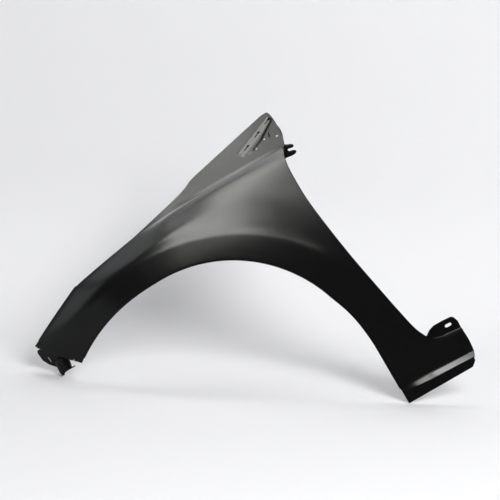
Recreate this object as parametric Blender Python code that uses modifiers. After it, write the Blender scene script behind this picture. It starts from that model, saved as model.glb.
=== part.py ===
"""Front fender of a small hatchback, left side: one pressed sheet and its two welded brackets.

Car axes: +X rearward, +Y inboard, +Z up. Side-view places are measured from the wheel centre,
and the finished objects are moved so that the seat on the sill tab is the origin.
"""
import math

import bmesh
import bpy
from mathutils import Matrix, Vector

MM = 0.001
PARTS = "car_fender"
CUTTERS = "cutters"
INBOARD = Vector((0.0, 1.0, 0.0))

# Sheet thickness, fold radius and flanges
SHEET = 0.9 * MM
FOLD = 2.0 * MM
ARCH_FLANGE = 18 * MM
DOOR_FLANGE = 12 * MM
LAMP_FLANGE = 12 * MM
FRONT_FLANGE = 20 * MM
REAR_TIP_FLANGE = 9 * MM
GUTTER_SETBACK = 3.2 * MM
GUTTER_DEPTH = 17 * MM
LEDGE_WIDTH = 9 * MM
PAD_WIDTH = 24 * MM
PAD_LENGTH = 34 * MM

# Wheel arch: a circle that opens forward and runs into a straight rear leg; angles in degrees
ARCH_CENTRE = Vector((0.9 * MM, -1.7 * MM))
ARCH_RADIUS = 328.5 * MM
ARCH_OPENS = 95
ARCH_FRONT_SPREAD = 35 * MM
ARCH_LEG_X = 344.3 * MM
ARCH_LEG_SLOPE = 0.04
ARCH_LEG_BLEND = (21, -7)

# Band above the opening up to the crease, and the flare that stands out along the crease
BAND_WIDTH = 56.5 * MM
CREASE_OPENS = 90
CREASE_FRONT_SPREAD = 31 * MM
CREASE_REAR_SPREAD = 15 * MM
CREASE_REAR = (75, 15)
FLARE = 14 * MM
FLARE_REACH = 36 * MM
FLARE_SILL_FADE = (-5, 30)
FLARE_NOSE_FADE = (112, 139)
FLARE_NOSE_LOSS = 0.7
BAND_TUCK = 6 * MM

# Crown of the outer skin: how it falls inboard away from its widest point, in 1/m
WIDEST_X = 60 * MM
WIDEST_Z = 150 * MM
NOSE_CURVE = 0.72
DOOR_CURVE = 0.03
SHOULDER_CURVE = 0.67
SILL_CURVE = 0.10

# Face between the shoulder crease and the bonnet edge
TOP_LEAN = 1.22
CREASE_STEP = 3.5 * MM
CREASE_STEP_HEIGHT = 9 * MM
REAR_BULGE = 12.5 * MM
REAR_BULGE_START = 0.8
REAR_BULGE_DROP = 0.3

# Raised seat strip near the rear tip, with three keyhole slots, two round holes and a lens slot
STRIP_CORNERS = [(274 * MM, 491 * MM), (280 * MM, 481 * MM), (290 * MM, 478 * MM),
                 (306 * MM, 483 * MM), (378 * MM, 529 * MM), (367 * MM, 538 * MM)]
STRIP_RISE = 4 * MM
STRIP_FLUSH = 0.3
STRIP_EDGE = 4 * MM
STRIP_WIDTH = 18 * MM
KEYHOLES = [(295 * MM, 494 * MM), (331 * MM, 509.5 * MM), (364.5 * MM, 524.5 * MM)]
KEYHOLE_SLIT = (15 * MM, 1.8 * MM)
KEYHOLE_BORE = 2.4 * MM
TOP_HOLES = [(370 * MM, 485.5 * MM, 3.0 * MM), (341.5 * MM, 493 * MM, 2.2 * MM),
             (315 * MM, 482.5 * MM, 2.4 * MM)]
TOP_LENS = (355 * MM, 495 * MM)
TOP_LENS_SIZE = (15 * MM, 2.6 * MM)
TOP_LENS_LEAN = 0.15

# Corners of the skin in the side view, and the edges between them, front to rear
FRONT_TIP = (-363 * MM, 315 * MM)
BONNET_CORNER = (-186 * MM, 402.8 * MM)
SHOULDER_CORNER = (-29 * MM, 437.3 * MM)
DOOR_CORNER = (370 * MM, 459 * MM)
SILL_CORNER = (540 * MM, -98 * MM)
LAMP_EDGE = [FRONT_TIP, (-290.5 * MM, 354.5 * MM), (-218.5 * MM, 391.5 * MM), (-203 * MM, 398 * MM),
             BONNET_CORNER]
BONNET_EDGE = [BONNET_CORNER, (-110 * MM, 420.3 * MM), SHOULDER_CORNER]
SHOULDER = [SHOULDER_CORNER, (41 * MM, 446 * MM), (109 * MM, 451 * MM), (204 * MM, 454 * MM), DOOR_CORNER]
TOP_EDGE = [SHOULDER_CORNER, (105 * MM, 473 * MM), (148 * MM, 490.5 * MM), (198 * MM, 503.8 * MM),
            (374 * MM, 545 * MM)]
DOOR_EDGE = [DOOR_CORNER, (362 * MM, 430 * MM), (360.5 * MM, 391 * MM), (366 * MM, 314 * MM),
             (389.7 * MM, 181 * MM), (413.5 * MM, 74 * MM), (430.5 * MM, 3 * MM), (446.2 * MM, -49.5 * MM),
             (476.5 * MM, -90.5 * MM), (512 * MM, -97 * MM), SILL_CORNER]
REAR_END = [SILL_CORNER, (542.5 * MM, -130 * MM), (541 * MM, -156 * MM)]

# Arch angles, in degrees, of the spokes that reach those corners and the end of the ledge
TIP_ANGLE = 139.5
BONNET_ANGLE = 114.6
SHOULDER_ANGLE = 93.8
DOOR_ANGLE = 50.9
SILL_ANGLE = -17.5
LEDGE_ANGLE = -21.4

# Sill below the last spoke, as height at the arch leg and rear end of each line: outer lip of the
# ledge, its underside, the tucked face and the weld lip
SILL_LINES = [(-148 * MM, (532.5 * MM, -166 * MM)), (-164 * MM, (534.5 * MM, -171 * MM)),
              (-182 * MM, (533.5 * MM, -177 * MM)), (-194.3 * MM, (522 * MM, -188.3 * MM))]
LEDGE_OUT = 12 * MM
LEDGE_FADE = (345 * MM, 445 * MM)
LEDGE_LEAST = 0.2
TUCK_DEPTH = 5 * MM
LIP_DEPTH = 6 * MM

# Sill tab behind the skin, with its bolt slot; the seat beside the slot is the part's origin
TAB_DEPTH = 32 * MM
TAB_RISE = 2 * MM
TAB_LEAST = 5 * MM
TAB_ROWS = (0.0, 0.15, 1.0)
TAB_TOP = [(459.5 * MM, -74 * MM), (472 * MM, -66 * MM), (490 * MM, -62 * MM), (510 * MM, -60 * MM),
           (528 * MM, -60.5 * MM), (535.5 * MM, -66 * MM), (540 * MM, -78 * MM)]
TAB_SLOT = (516 * MM, -77 * MM)
TAB_SLOT_SIZE = (16 * MM, 7 * MM)
TAB_SEAT = (494 * MM, -78 * MM)

# Holes and slots for fasteners
LINER_HOLE = 3.5 * MM
LINER_INSET = 11 * MM
LINER_ANGLES = [130, 108, 84, 60, 36, 12, -10]
PAD_SLOT_SIZE = (14 * MM, 8 * MM)
PAD_PLACES = [-150 * MM, 30 * MM, 200 * MM, 330 * MM]
FRONT_NOTCH_X = -290.5 * MM
FRONT_NOTCH = 3.2 * MM
CUT_DEPTH = 8 * MM
NOTCH_DEPTH = 16 * MM
CUT_SIDES = 14

# Mesh columns along each edge and rows across the skin; a crowd above 1 packs the far end
LAMP_COUNT = 11
BONNET_COUNT = 9
SHOULDER_COUNT = 30
DOOR_COUNT = 34
REAR_COUNT = 3
BAND_ROWS = 3
BODY_ROWS = 9
TOP_ROWS = 12
SHOULDER_CROWD = 1.3
BODY_CROWD = 1.35
TOP_CROWD = 1.25
CURVE_STEPS = 16

# Top face at the rear tip: columns without a gutter, and the levels that carry the small return
TIP_COLUMNS = 4
TIP_LEVELS = (2, 6)

# Front bracket: a yawed plate with a pressed nose, a weld lip and a foot
BRACKET_SHEET = 1.6 * MM
WELD_GAP = 0.3 * MM
BRACKET_SPAN = (-349 * MM, -303 * MM)
BRACKET_ENDS = (-375 * MM, -294 * MM)
BRACKET_HEIGHTS = (216 * MM, 312 * MM)
BRACKET_TRIM = (60 * MM, 220 * MM)
BRACKET_ROWS = 6
BRACKET_LIP = (-346 * MM, -306 * MM)
BRACKET_LIP_SETBACK = 5 * MM
BRACKET_OUTLINE = [(-350.5 * MM, 299 * MM), (-363 * MM, 303 * MM), (-368 * MM, 299.5 * MM),
                   (-368.8 * MM, 293 * MM), (-366 * MM, 274 * MM), (-356 * MM, 259.5 * MM),
                   (-341.5 * MM, 247 * MM), (-342 * MM, 231 * MM), (-340 * MM, 226 * MM),
                   (-331 * MM, 223.5 * MM), (-327 * MM, 229 * MM), (-306 * MM, 233 * MM),
                   (-303 * MM, 247 * MM)]
NOSE = [(-15 * MM, 0.0), (-10 * MM, 11 * MM), (-3 * MM, 15 * MM), (4 * MM, 15 * MM), (10 * MM, 10 * MM),
        (15 * MM, 0.0)]
NOSE_X = -322 * MM
NOSE_MARGIN = 6 * MM
NOSE_TOP = 272 * MM
NOSE_RAMP = 14 * MM
FOOT = (-336 * MM, -300 * MM)
FOOT_Z = 230.5 * MM
FOOT_OUT = 8 * MM
FOOT_BACK = 6 * MM
SLIT_CENTRE = (-349.3 * MM, 270.6 * MM)
SLIT_LEAN = 0.26
SLIT_SIZE = (14 * MM, 3 * MM)

# Pillar bracket: a fork plate on a weld leg behind the door edge
FORK_SHEET = 3 * MM
FORK_BEHIND = 9.8 * MM
FORK_OUTLINE = [(366 * MM, 465.5 * MM), (375 * MM, 466 * MM), (381 * MM, 461 * MM), (389.5 * MM, 458 * MM),
                (394.5 * MM, 454.5 * MM), (395.3 * MM, 450.5 * MM), (391.5 * MM, 448 * MM),
                (382.5 * MM, 450 * MM), (379 * MM, 449.8 * MM), (377.8 * MM, 447.1 * MM),
                (380 * MM, 444.5 * MM), (389.5 * MM, 442.8 * MM), (394.5 * MM, 439.5 * MM),
                (394.5 * MM, 435.5 * MM), (390 * MM, 432.7 * MM), (383 * MM, 431.8 * MM), (364 * MM, 434 * MM)]
FORK_LEG = (434 * MM, 458 * MM)
FORK_LEG_LENGTH = 18 * MM
FORK_GAP = 0.4 * MM


def clear_scene():
    """Starts from an empty scene with one collection for the parts and one for the cutters."""
    for item in list(bpy.data.objects):
        bpy.data.objects.remove(item)
    for name in (PARTS, CUTTERS):
        group = bpy.data.collections.get(name) or bpy.data.collections.new(name)
        if name not in bpy.context.scene.collection.children:
            bpy.context.scene.collection.children.link(group)


def coat(name, colour, roughness):
    """A satin black coat on steel."""
    material = bpy.data.materials.new(name)
    material.use_nodes = True
    shader = material.node_tree.nodes["Principled BSDF"]
    shader.inputs["Base Color"].default_value = (*colour, 1.0)
    shader.inputs["Roughness"].default_value = roughness
    shader.inputs["Metallic"].default_value = 0.0
    return material


def add_object(name, mesh, collection, material=None):
    """Links a mesh as a named object in its collection."""
    item = bpy.data.objects.new(name, mesh)
    bpy.data.collections[collection].objects.link(item)
    if material:
        mesh.materials.append(material)
    return item


def finish_mesh(bm, name):
    """Writes a bmesh to a new mesh."""
    mesh = bpy.data.meshes.new(name)
    bm.to_mesh(mesh)
    bm.free()
    return mesh


def ease(value, start, end):
    """Goes smoothly from 0 at start to 1 at end, and stays there."""
    share = min(max((value - start) / (end - start), 0.0), 1.0)
    return share * share * (3.0 - 2.0 * share)


def run(points, count, crowd=1.0):
    """Count + 1 places along a smooth curve through the points; crowd above 1 packs its far end."""
    pts = [Vector(p) for p in points]
    pts = [2 * pts[0] - pts[1]] + pts + [2 * pts[-1] - pts[-2]]
    dense = []
    for a, b, c, d in zip(pts, pts[1:], pts[2:], pts[3:]):
        for step in range(CURVE_STEPS):
            u = step / CURVE_STEPS
            dense.append(0.5 * (2 * b + (c - a) * u + (2 * a - 5 * b + 4 * c - d) * u ** 2
                                + (3 * b - a - 3 * c + d) * u ** 3))
    dense.append(pts[-2])
    lengths = [0.0]
    for a, b in zip(dense, dense[1:]):
        lengths.append(lengths[-1] + (b - a).length)
    places = []
    piece = 0
    for step in range(count + 1):
        target = lengths[-1] * (1 - (1 - step / count) ** crowd)
        while piece < len(dense) - 2 and lengths[piece + 1] < target:
            piece += 1
        share = (target - lengths[piece]) / (lengths[piece + 1] - lengths[piece])
        places.append(dense[piece].lerp(dense[piece + 1], share))
    return places


def curve_height(points, x):
    """Second coordinate of a line of points where the first one is x."""
    for (xa, za), (xb, zb) in zip(points, points[1:]):
        if xa <= x <= xb:
            return za + (zb - za) * (x - xa) / (xb - xa)
    return points[-1][1]


def arch_radius(angle):
    """Radius of the wheel-arch edge: a circle that opens forward and runs into the straight rear leg."""
    opened = max(0.0, angle - ARCH_OPENS) / (TIP_ANGLE - ARCH_OPENS)
    circle = ARCH_RADIUS + ARCH_FRONT_SPREAD * opened ** 1.5
    share = ease(angle, *ARCH_LEG_BLEND)
    if share == 0.0:
        return circle
    turn = math.radians(angle)
    leg = ARCH_LEG_X / (math.cos(turn) + ARCH_LEG_SLOPE * math.sin(turn))
    return circle + (leg - circle) * share


def arch_place(angle):
    """Side-view place of the arch edge at an angle."""
    turn = math.radians(angle)
    return ARCH_CENTRE + Vector((math.cos(turn), math.sin(turn))) * arch_radius(angle)


def leg_x(z):
    """X of the arch's straight rear leg at a height."""
    return ARCH_CENTRE.x + ARCH_LEG_X - ARCH_LEG_SLOPE * (z - ARCH_CENTRE.y)


def crease_radius(angle):
    """Radius of the crease, one band width outside the arch, where the flare turns over."""
    front = max(0.0, angle - CREASE_OPENS) / (TIP_ANGLE - CREASE_OPENS)
    rear = max(0.0, CREASE_REAR[0] - angle) / (CREASE_REAR[0] - CREASE_REAR[1])
    leg = arch_radius(angle) - ARCH_RADIUS if angle < ARCH_LEG_BLEND[0] else 0.0
    return ARCH_RADIUS + BAND_WIDTH + leg + CREASE_FRONT_SPREAD * front ** 2 + CREASE_REAR_SPREAD * rear


def crown(x, z):
    """Depth of the plain outer skin inboard of its widest point."""
    plan = NOSE_CURVE * max(0.0, WIDEST_X - x) ** 2 + DOOR_CURVE * max(0.0, x - WIDEST_X) ** 2
    section = SHOULDER_CURVE * max(0.0, z - WIDEST_Z) ** 2 + SILL_CURVE * max(0.0, WIDEST_Z - z) ** 2
    return plan + section


def flare(angle):
    """How far the arch crease stands out: full over the wheel, fading to the nose and the sill."""
    return FLARE * ease(angle, *FLARE_SILL_FADE) * (1 - FLARE_NOSE_LOSS * ease(angle, *FLARE_NOSE_FADE))


def spokes():
    """One entry for each column: arch angle, arch point and outline point in the side view."""
    stretches = [(LAMP_EDGE, LAMP_COUNT, TIP_ANGLE, BONNET_ANGLE, 1.0),
                 (BONNET_EDGE, BONNET_COUNT, BONNET_ANGLE, SHOULDER_ANGLE, 1.0),
                 (SHOULDER, SHOULDER_COUNT, SHOULDER_ANGLE, DOOR_ANGLE, SHOULDER_CROWD),
                 (DOOR_EDGE, DOOR_COUNT, DOOR_ANGLE, SILL_ANGLE, 1.0),
                 (REAR_END, REAR_COUNT, SILL_ANGLE, LEDGE_ANGLE, 1.0)]
    columns = []
    for edge, count, start, end, crowd in stretches:
        for step, place in enumerate(run(edge, count, crowd)):
            if step == 0 and columns:
                continue
            share = 1 - (1 - step / count) ** crowd
            angle = start + (end - start) * share
            columns.append((angle, arch_place(angle), place))
    return columns


def sill_offset(line, x):
    """Depth added to the crown along each line of the sill, top to bottom."""
    ledge = -LEDGE_OUT * (LEDGE_LEAST + (1 - LEDGE_LEAST) * ease(x, *LEDGE_FADE))
    return [ledge, 0.5 * ledge, TUCK_DEPTH, LIP_DEPTH][line]


def skin_point(columns, column, row):
    """A point of the outer skin between the arch edge (row 0) and the outline (last row)."""
    line = column - len(columns)
    if line >= 0:
        height, rear = SILL_LINES[line]
        angle, inner, outer = LEDGE_ANGLE, Vector((leg_x(height), height)), Vector(rear)
    else:
        angle, inner, outer = columns[column]
    length = (outer - inner).length
    band = (crease_radius(angle) - arch_radius(angle)) / length
    if row <= BAND_ROWS:
        share = band * row / BAND_ROWS
    else:
        share = band + (1 - band) * ((row - BAND_ROWS) / BODY_ROWS) ** BODY_CROWD
    x, z = inner.lerp(outer, share)
    past = (share - band) * length
    out = flare(angle)
    if past >= 0:
        out *= math.exp(-(past / FLARE_REACH) ** 2)
    else:
        out *= 1 - BAND_TUCK / FLARE * (1 - share / band)
    depth = crown(x, z) - out
    if line >= 0:
        depth += sill_offset(line, x)
    return Vector((x, depth, z))


def top_normal():
    """Outward normal of the face above the shoulder crease."""
    return Vector((0.0, -1.0, TOP_LEAN)).normalized()


def strip_rise(x, z):
    """Height of the raised seat strip: nearly flush along its upper edge, proud along its lower one."""
    corners = [Vector(p) for p in STRIP_CORNERS]
    inside = []
    for a, b in zip(corners, corners[1:] + corners[:1]):
        along = (b - a).normalized()
        inside.append((Vector((x, z)) - a).dot(Vector((-along.y, along.x))))
    across = min(max(inside[-1], 0.0) / STRIP_WIDTH, 1.0)
    return STRIP_RISE * ease(min(inside), 0.0, STRIP_EDGE) * (STRIP_FLUSH + (1 - STRIP_FLUSH) * across)


def top_surface(foot, x, z):
    """The face above the shoulder crease at a side-view place, over the crease point foot."""
    height = z - foot[1]
    depth = crown(*foot) + CREASE_STEP * ease(height, 0.0, CREASE_STEP_HEIGHT) + TOP_LEAN * height
    return Vector((x, depth, z)) + top_normal() * strip_rise(x, z)


def top_point(foot, head, share, bulge):
    """A point of the top face between the shoulder crease (foot) and the bonnet edge (head)."""
    x, z = foot.lerp(head, share)
    x += REAR_BULGE * bulge * math.sqrt(max(0.0, 4 * share * (1 - share))) * (1 - REAR_BULGE_DROP * share)
    return top_surface(foot, x, z)


def top_place(x, z):
    """A place on the top face at a side-view position."""
    return top_surface((x, curve_height(SHOULDER, x)), x, z)


def extrude_row(bm, row):
    """Extrudes a chain of edges and returns the new vertices in the same order."""
    edges = [bm.edges.get((a, b)) for a, b in zip(row, row[1:])]
    made = bmesh.ops.extrude_edge_only(bm, edges=edges)["geom"]
    copies = {tuple(v.co): v for v in made if isinstance(v, bmesh.types.BMVert)}
    return [copies[tuple(v.co)] for v in row]


def turn_flange(bm, rim, inner, section):
    """Folds a flange off the rim; section gives a rim point's rows from its place and outward direction."""
    rows = [section(a.co.copy(), (a.co - b.co).normalized()) for a, b in zip(rim, inner)]
    row = rim
    made = []
    for level in range(len(rows[0])):
        row = extrude_row(bm, row)
        for vert, places in zip(row, rows):
            vert.co = places[level]
        made.append(row)
    return made


def half_fold(place, outward):
    """Halfway round a fold that turns inboard off an edge."""
    eighth = math.radians(45)
    return place + outward * FOLD * math.sin(eighth) + INBOARD * FOLD * (1 - math.cos(eighth))


def plain_fold(depth):
    """A return flange that turns straight inboard over a rounded fold."""
    def section(place, outward):
        edge = place + outward * FOLD
        return [half_fold(place, outward), edge + INBOARD * FOLD, edge + INBOARD * depth]
    return section


def gutter_fold(place, outward):
    """The bonnet side: over the edge, down a wall, and inboard along a ledge that widens at the bolt pads."""
    near = min(abs(place.x - x) for x in PAD_PLACES)
    half = 0.5 * PAD_LENGTH
    reach = LEDGE_WIDTH + (PAD_WIDTH - LEDGE_WIDTH) * ease(near, half + 2 * FOLD, half - FOLD)
    wall = place.y + GUTTER_SETBACK
    floor = place.z - GUTTER_DEPTH
    return [half_fold(place, 0.5 * outward) + INBOARD * 0.5 * FOLD,
            Vector((place.x, wall, place.z - FOLD)),
            Vector((place.x, wall, floor + FOLD)),
            Vector((place.x, wall + FOLD, floor)),
            Vector((place.x, wall + LEDGE_WIDTH, floor)),
            Vector((place.x, wall + FOLD + reach, floor))]


def flatten_pad(rows, x):
    """Lays one bolt pad of the ledge in a true plane; returns its slot centre and its slope along X."""
    flat = [v for row in rows for v in row if abs(v.co.x - x) <= 0.5 * PAD_LENGTH + FOLD]
    first = min(flat, key=lambda v: v.co.x).co.copy()
    last = max(flat, key=lambda v: v.co.x).co.copy()
    slope = (last.z - first.z) / (last.x - first.x)
    for vert in flat:
        vert.co.z = first.z + slope * (vert.co.x - first.x)
    middle = min((v.co for v in rows[0]), key=lambda place: abs(place.x - x))
    height = first.z + slope * (x - first.x)
    return Vector((x, middle.y + 0.5 * PAD_WIDTH, height)), slope


def tab_fold(place, outward):
    """The sill tab: a shelf inboard from the skin, then a flat plate up to the tab's own outline."""
    rise = place.z + TAB_RISE
    top = max(curve_height(TAB_TOP, place.x), rise + TAB_LEAST)
    foot = rise + FOLD
    plate = [Vector((place.x, TAB_DEPTH, foot + (top - foot) * share)) for share in TAB_ROWS]
    return [place + 0.5 * outward * FOLD + INBOARD * FOLD, Vector((place.x, TAB_DEPTH - FOLD, rise))] + plate


def skin_grid(bm, columns):
    """The outer skin as a grid of vertices, keyed by column and row."""
    total = len(columns) - 1 + len(SILL_LINES)
    rows = BAND_ROWS + BODY_ROWS
    bmesh.ops.create_grid(bm, x_segments=total, y_segments=rows, size=1.0)
    grid = {}
    for vert in bm.verts:
        column = round((vert.co.x + 1) * total / 2)
        row = round((vert.co.y + 1) * rows / 2)
        grid[column, row] = vert
    for (column, row), vert in grid.items():
        vert.co = skin_point(columns, column, row)
    return grid


def raise_top(bm, columns, crease, first):
    """Extrudes the face above the shoulder crease; returns its rows from the crease upwards."""
    count = SHOULDER_COUNT
    heads = run(TOP_EDGE, count, SHOULDER_CROWD)
    feet = [columns[first + step][2] for step in range(count + 1)]
    row = crease
    above = []
    for level in range(1, TOP_ROWS + 1):
        row = extrude_row(bm, row)
        share = (level / TOP_ROWS) ** TOP_CROWD
        for step, vert in enumerate(row):
            bulge = ease(step / count, REAR_BULGE_START, 1.0)
            vert.co = top_point(feet[step], heads[step], share, bulge)
        bmesh.ops.weld_verts(bm, targetmap={row[0]: crease[0]})
        row[0] = crease[0]
        above.append(row)
    return above


def skin_sheet():
    """The whole stamping as an open sheet: skin, top face and flanges."""
    columns = spokes()
    bm = bmesh.new()
    grid = skin_grid(bm, columns)
    total = len(columns) - 1 + len(SILL_LINES)
    rows = BAND_ROWS + BODY_ROWS
    bonnet_start = LAMP_COUNT
    shoulder_start = bonnet_start + BONNET_COUNT
    door_start = shoulder_start + SHOULDER_COUNT
    rear_start = door_start + DOOR_COUNT
    rim = [grid[c, rows] for c in range(total + 1)]
    inner = [grid[c, rows - 1] for c in range(total + 1)]
    above = raise_top(bm, columns, rim[shoulder_start:door_start + 1], shoulder_start)

    arch = [grid[c, 0] for c in range(1, total - 2)]
    turn_flange(bm, arch, [grid[c, 1] for c in range(1, total - 2)], plain_fold(ARCH_FLANGE))
    front = [grid[0, r] for r in range(1, rows)]
    turn_flange(bm, front, [grid[1, r] for r in range(1, rows)], plain_fold(FRONT_FLANGE))
    turn_flange(bm, rim[1:bonnet_start], inner[1:bonnet_start], plain_fold(LAMP_FLANGE))

    bonnet = rim[bonnet_start:shoulder_start + 1] + above[-1][1:-TIP_COLUMNS]
    bonnet_inner = inner[bonnet_start:shoulder_start + 1] + above[-2][1:-TIP_COLUMNS]
    gutter = turn_flange(bm, bonnet, bonnet_inner, gutter_fold)
    pads = [flatten_pad(gutter[3:], x) for x in PAD_PLACES]
    tip = above[TIP_LEVELS[0]:TIP_LEVELS[1]]
    turn_flange(bm, [r[-1] for r in tip], [r[-2] for r in tip], plain_fold(REAR_TIP_FLANGE))

    tab = [c for c in range(door_start, rear_start + 1) if rim[c].co.x > TAB_TOP[0][0] and rim[c].co.z < 0]
    door_end = tab[0] - 1
    door = turn_flange(bm, rim[door_start:door_end], inner[door_start:door_end], plain_fold(DOOR_FLANGE))
    turn_flange(bm, [rim[c] for c in tab], [inner[c] for c in tab], tab_fold)

    bmesh.ops.recalc_face_normals(bm, faces=bm.faces)
    if sum(face.normal.y * face.calc_area() for face in bm.faces) > 0:
        bmesh.ops.reverse_faces(bm, faces=bm.faces)
    for face in bm.faces:
        face.smooth = True
    rims = {"arch": [v.co.copy() for v in arch], "door": [v.co.copy() for v in door[-1]], "pads": pads}
    return finish_mesh(bm, "fender_panel"), rims


def facing(axis, along):
    """Rotation that lays a cutter's Z on an axis and its X along a direction."""
    z = Vector(axis).normalized()
    x = Vector(along)
    x = (x - z * x.dot(z)).normalized()
    return Matrix((x, z.cross(x), z)).transposed().to_4x4()


def slot_cutter(name, centre, axis, along, size, depth=CUT_DEPTH):
    """A round-ended prism that cuts a slot; equal sides make a round hole."""
    length, width = size
    radius = 0.5 * width
    bm = bmesh.new()
    bmesh.ops.create_cone(bm, cap_ends=True, segments=CUT_SIDES, radius1=radius, radius2=radius, depth=depth)
    half = 0.5 * (length - width)
    if half > 0:
        for vert in bm.verts:
            vert.co.x += math.copysign(half, vert.co.x)
    cutter = add_object(name, finish_mesh(bm, name), CUTTERS)
    cutter.matrix_world = Matrix.Translation(centre) @ facing(axis, along)
    return cutter


def hole_cutter(name, centre, axis, along, radius, depth=CUT_DEPTH):
    """A cylinder that cuts a round hole."""
    return slot_cutter(name, centre, axis, along, (2 * radius, 2 * radius), depth)


def prism(name, outline, near, far, collection=CUTTERS, material=None):
    """A side-view outline extruded from one depth to another."""
    bm = bmesh.new()
    face = bm.faces.new([bm.verts.new((x, near, z)) for x, z in outline])
    made = bmesh.ops.extrude_face_region(bm, geom=[face])["geom"]
    for vert in made:
        if isinstance(vert, bmesh.types.BMVert):
            vert.co.y = far
    bmesh.ops.recalc_face_normals(bm, faces=bm.faces)
    return add_object(name, finish_mesh(bm, name), collection, material)


def box(name, low, high):
    """A plain block between two corners."""
    bm = bmesh.new()
    bmesh.ops.create_cube(bm, size=1.0)
    for vert in bm.verts:
        vert.co = [a + (b - a) * (c + 0.5) for a, b, c in zip(low, high, vert.co)]
    return add_object(name, finish_mesh(bm, name), CUTTERS)


def join_tools(tools, name):
    """Joins separate cutters into one object, so that one Boolean cuts them all."""
    bm = bmesh.new()
    for tool in tools:
        part = tool.data.copy()
        part.transform(tool.matrix_world)
        bm.from_mesh(part)
        bpy.data.meshes.remove(part)
        bpy.data.objects.remove(tool)
    return add_object(name, finish_mesh(bm, name), CUTTERS)


def boolean(item, tool, operation):
    """Adds an exact Boolean with one other object, which becomes a working shape."""
    tool.hide_render = True
    tool.display_type = "WIRE"
    step = item.modifiers.new(operation.lower(), "BOOLEAN")
    step.operation = operation
    step.object = tool
    step.solver = "EXACT"


def solidify(item, thickness):
    """Gives an open sheet its thickness, on the side that its normals turn away from."""
    wall = item.modifiers.new("sheet", "SOLIDIFY")
    wall.thickness = thickness
    wall.offset = -1.0
    wall.use_even_offset = True


def front_line(x, out=0.0):
    """Height of the skin's front edge at x, moved out below it."""
    (xa, za), (xb, zb) = FRONT_TIP, arch_place(TIP_ANGLE)
    slope = (zb - za) / (xb - xa)
    return za + slope * (x - xa) - out * math.sqrt(1 + slope * slope)


def front_place(x):
    """A place on the skin's front edge."""
    return Vector((x, crown(x, front_line(x)), front_line(x)))


def top_cutters():
    """Slits, round holes and lens slot of the top face, and the round heads of the keyholes."""
    lean = top_normal()
    (xa, za), (xb, zb) = KEYHOLES[0], KEYHOLES[-1]
    strip = Vector((xb - xa, 0.0, zb - za)).normalized()
    head = 0.5 * KEYHOLE_SLIT[0]
    tools = []
    bores = []
    for count, (x, z) in enumerate(KEYHOLES, 1):
        tools.append(slot_cutter(f"keyhole_slit_{count}", top_place(x, z), lean, strip, KEYHOLE_SLIT))
        place = top_place(x + strip.x * head, z + strip.z * head)
        bores.append(hole_cutter(f"keyhole_bore_{count}", place, lean, strip, KEYHOLE_BORE))
    for count, (x, z, radius) in enumerate(TOP_HOLES, 1):
        tools.append(hole_cutter(f"top_hole_{count}", top_place(x, z), lean, strip, radius))
    tools.append(slot_cutter("top_lens", top_place(*TOP_LENS), lean, (TOP_LENS_LEAN, 0, 1), TOP_LENS_SIZE))
    return tools, bores


def flange_cutters(rims):
    """Holes and slots of the flanges, and the notch in the front edge."""
    slot_place = Vector((TAB_SLOT[0], TAB_DEPTH, TAB_SLOT[1]))
    tools = [slot_cutter("tab_slot", slot_place, INBOARD, (1, 0, 0), TAB_SLOT_SIZE)]
    for count, angle in enumerate(LINER_ANGLES, 1):
        middle = arch_place(angle)
        rim = min(rims["arch"], key=lambda place: (Vector((place.x, place.z)) - middle).length)
        turn = math.radians(angle)
        spoke = Vector((math.cos(turn), 0.0, math.sin(turn)))
        hole = rim + INBOARD * LINER_INSET - spoke * FOLD
        tools.append(hole_cutter(f"liner_hole_{count}", hole, spoke, INBOARD, LINER_HOLE))
    for count, (centre, slope) in enumerate(rims["pads"], 1):
        tools.append(slot_cutter(f"pad_slot_{count}", centre, (-slope, 0, 1), (1, 0, slope), PAD_SLOT_SIZE))
    notch = front_place(FRONT_NOTCH_X)
    tools.append(hole_cutter("front_notch", notch, INBOARD, (1, 0, 0), FRONT_NOTCH, NOTCH_DEPTH))
    return tools


def fender_panel(mesh, rims, material):
    """The stamping: the folded sheet with its thickness, then its holes and slots."""
    panel = add_object("fender_panel", mesh, PARTS, material)
    solidify(panel, SHEET)
    tools, bores = top_cutters()
    boolean(panel, join_tools(tools + flange_cutters(rims), "panel_cutters"), "DIFFERENCE")
    boolean(panel, join_tools(bores, "keyhole_bores"), "DIFFERENCE")
    return panel


def bracket_depth(x):
    """Depth of the front bracket's plate at x: it runs along the end of the front flange."""
    near, far = BRACKET_SPAN
    start = front_place(near).y
    end = front_place(far).y
    return start + (end - start) * (x - near) / (far - near) + FRONT_FLANGE + WELD_GAP


def face_towards(bm, axis):
    """Turns an open sheet's faces so that they look along an axis."""
    bmesh.ops.recalc_face_normals(bm, faces=bm.faces)
    if sum(face.normal.dot(axis) for face in bm.faces) < 0:
        bmesh.ops.reverse_faces(bm, faces=bm.faces)


def bracket_plate(out, material):
    """The yawed plate with the pressed nose that stands out of its lower half."""
    plan = [(BRACKET_ENDS[0], 0.0), (NOSE_X + NOSE[0][0] - NOSE_MARGIN, 0.0)]
    plan += [(NOSE_X + dx, height) for dx, height in NOSE]
    plan += [(BRACKET_ENDS[1], 0.0)]
    bottom, top = BRACKET_HEIGHTS
    bm = bmesh.new()
    bmesh.ops.create_grid(bm, x_segments=len(plan) - 1, y_segments=BRACKET_ROWS, size=1.0)
    for vert in bm.verts:
        x, height = plan[round((vert.co.x + 1) * (len(plan) - 1) / 2)]
        z = bottom + (top - bottom) * (vert.co.y + 1) / 2
        place = Vector((x, bracket_depth(x), z))
        vert.co = place + out * height * ease(z, NOSE_TOP, NOSE_TOP - NOSE_RAMP)
    face_towards(bm, out)
    plate = add_object("front_bumper_bracket", finish_mesh(bm, "front_bumper_bracket"), PARTS, material)
    solidify(plate, BRACKET_SHEET)
    return plate


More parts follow.
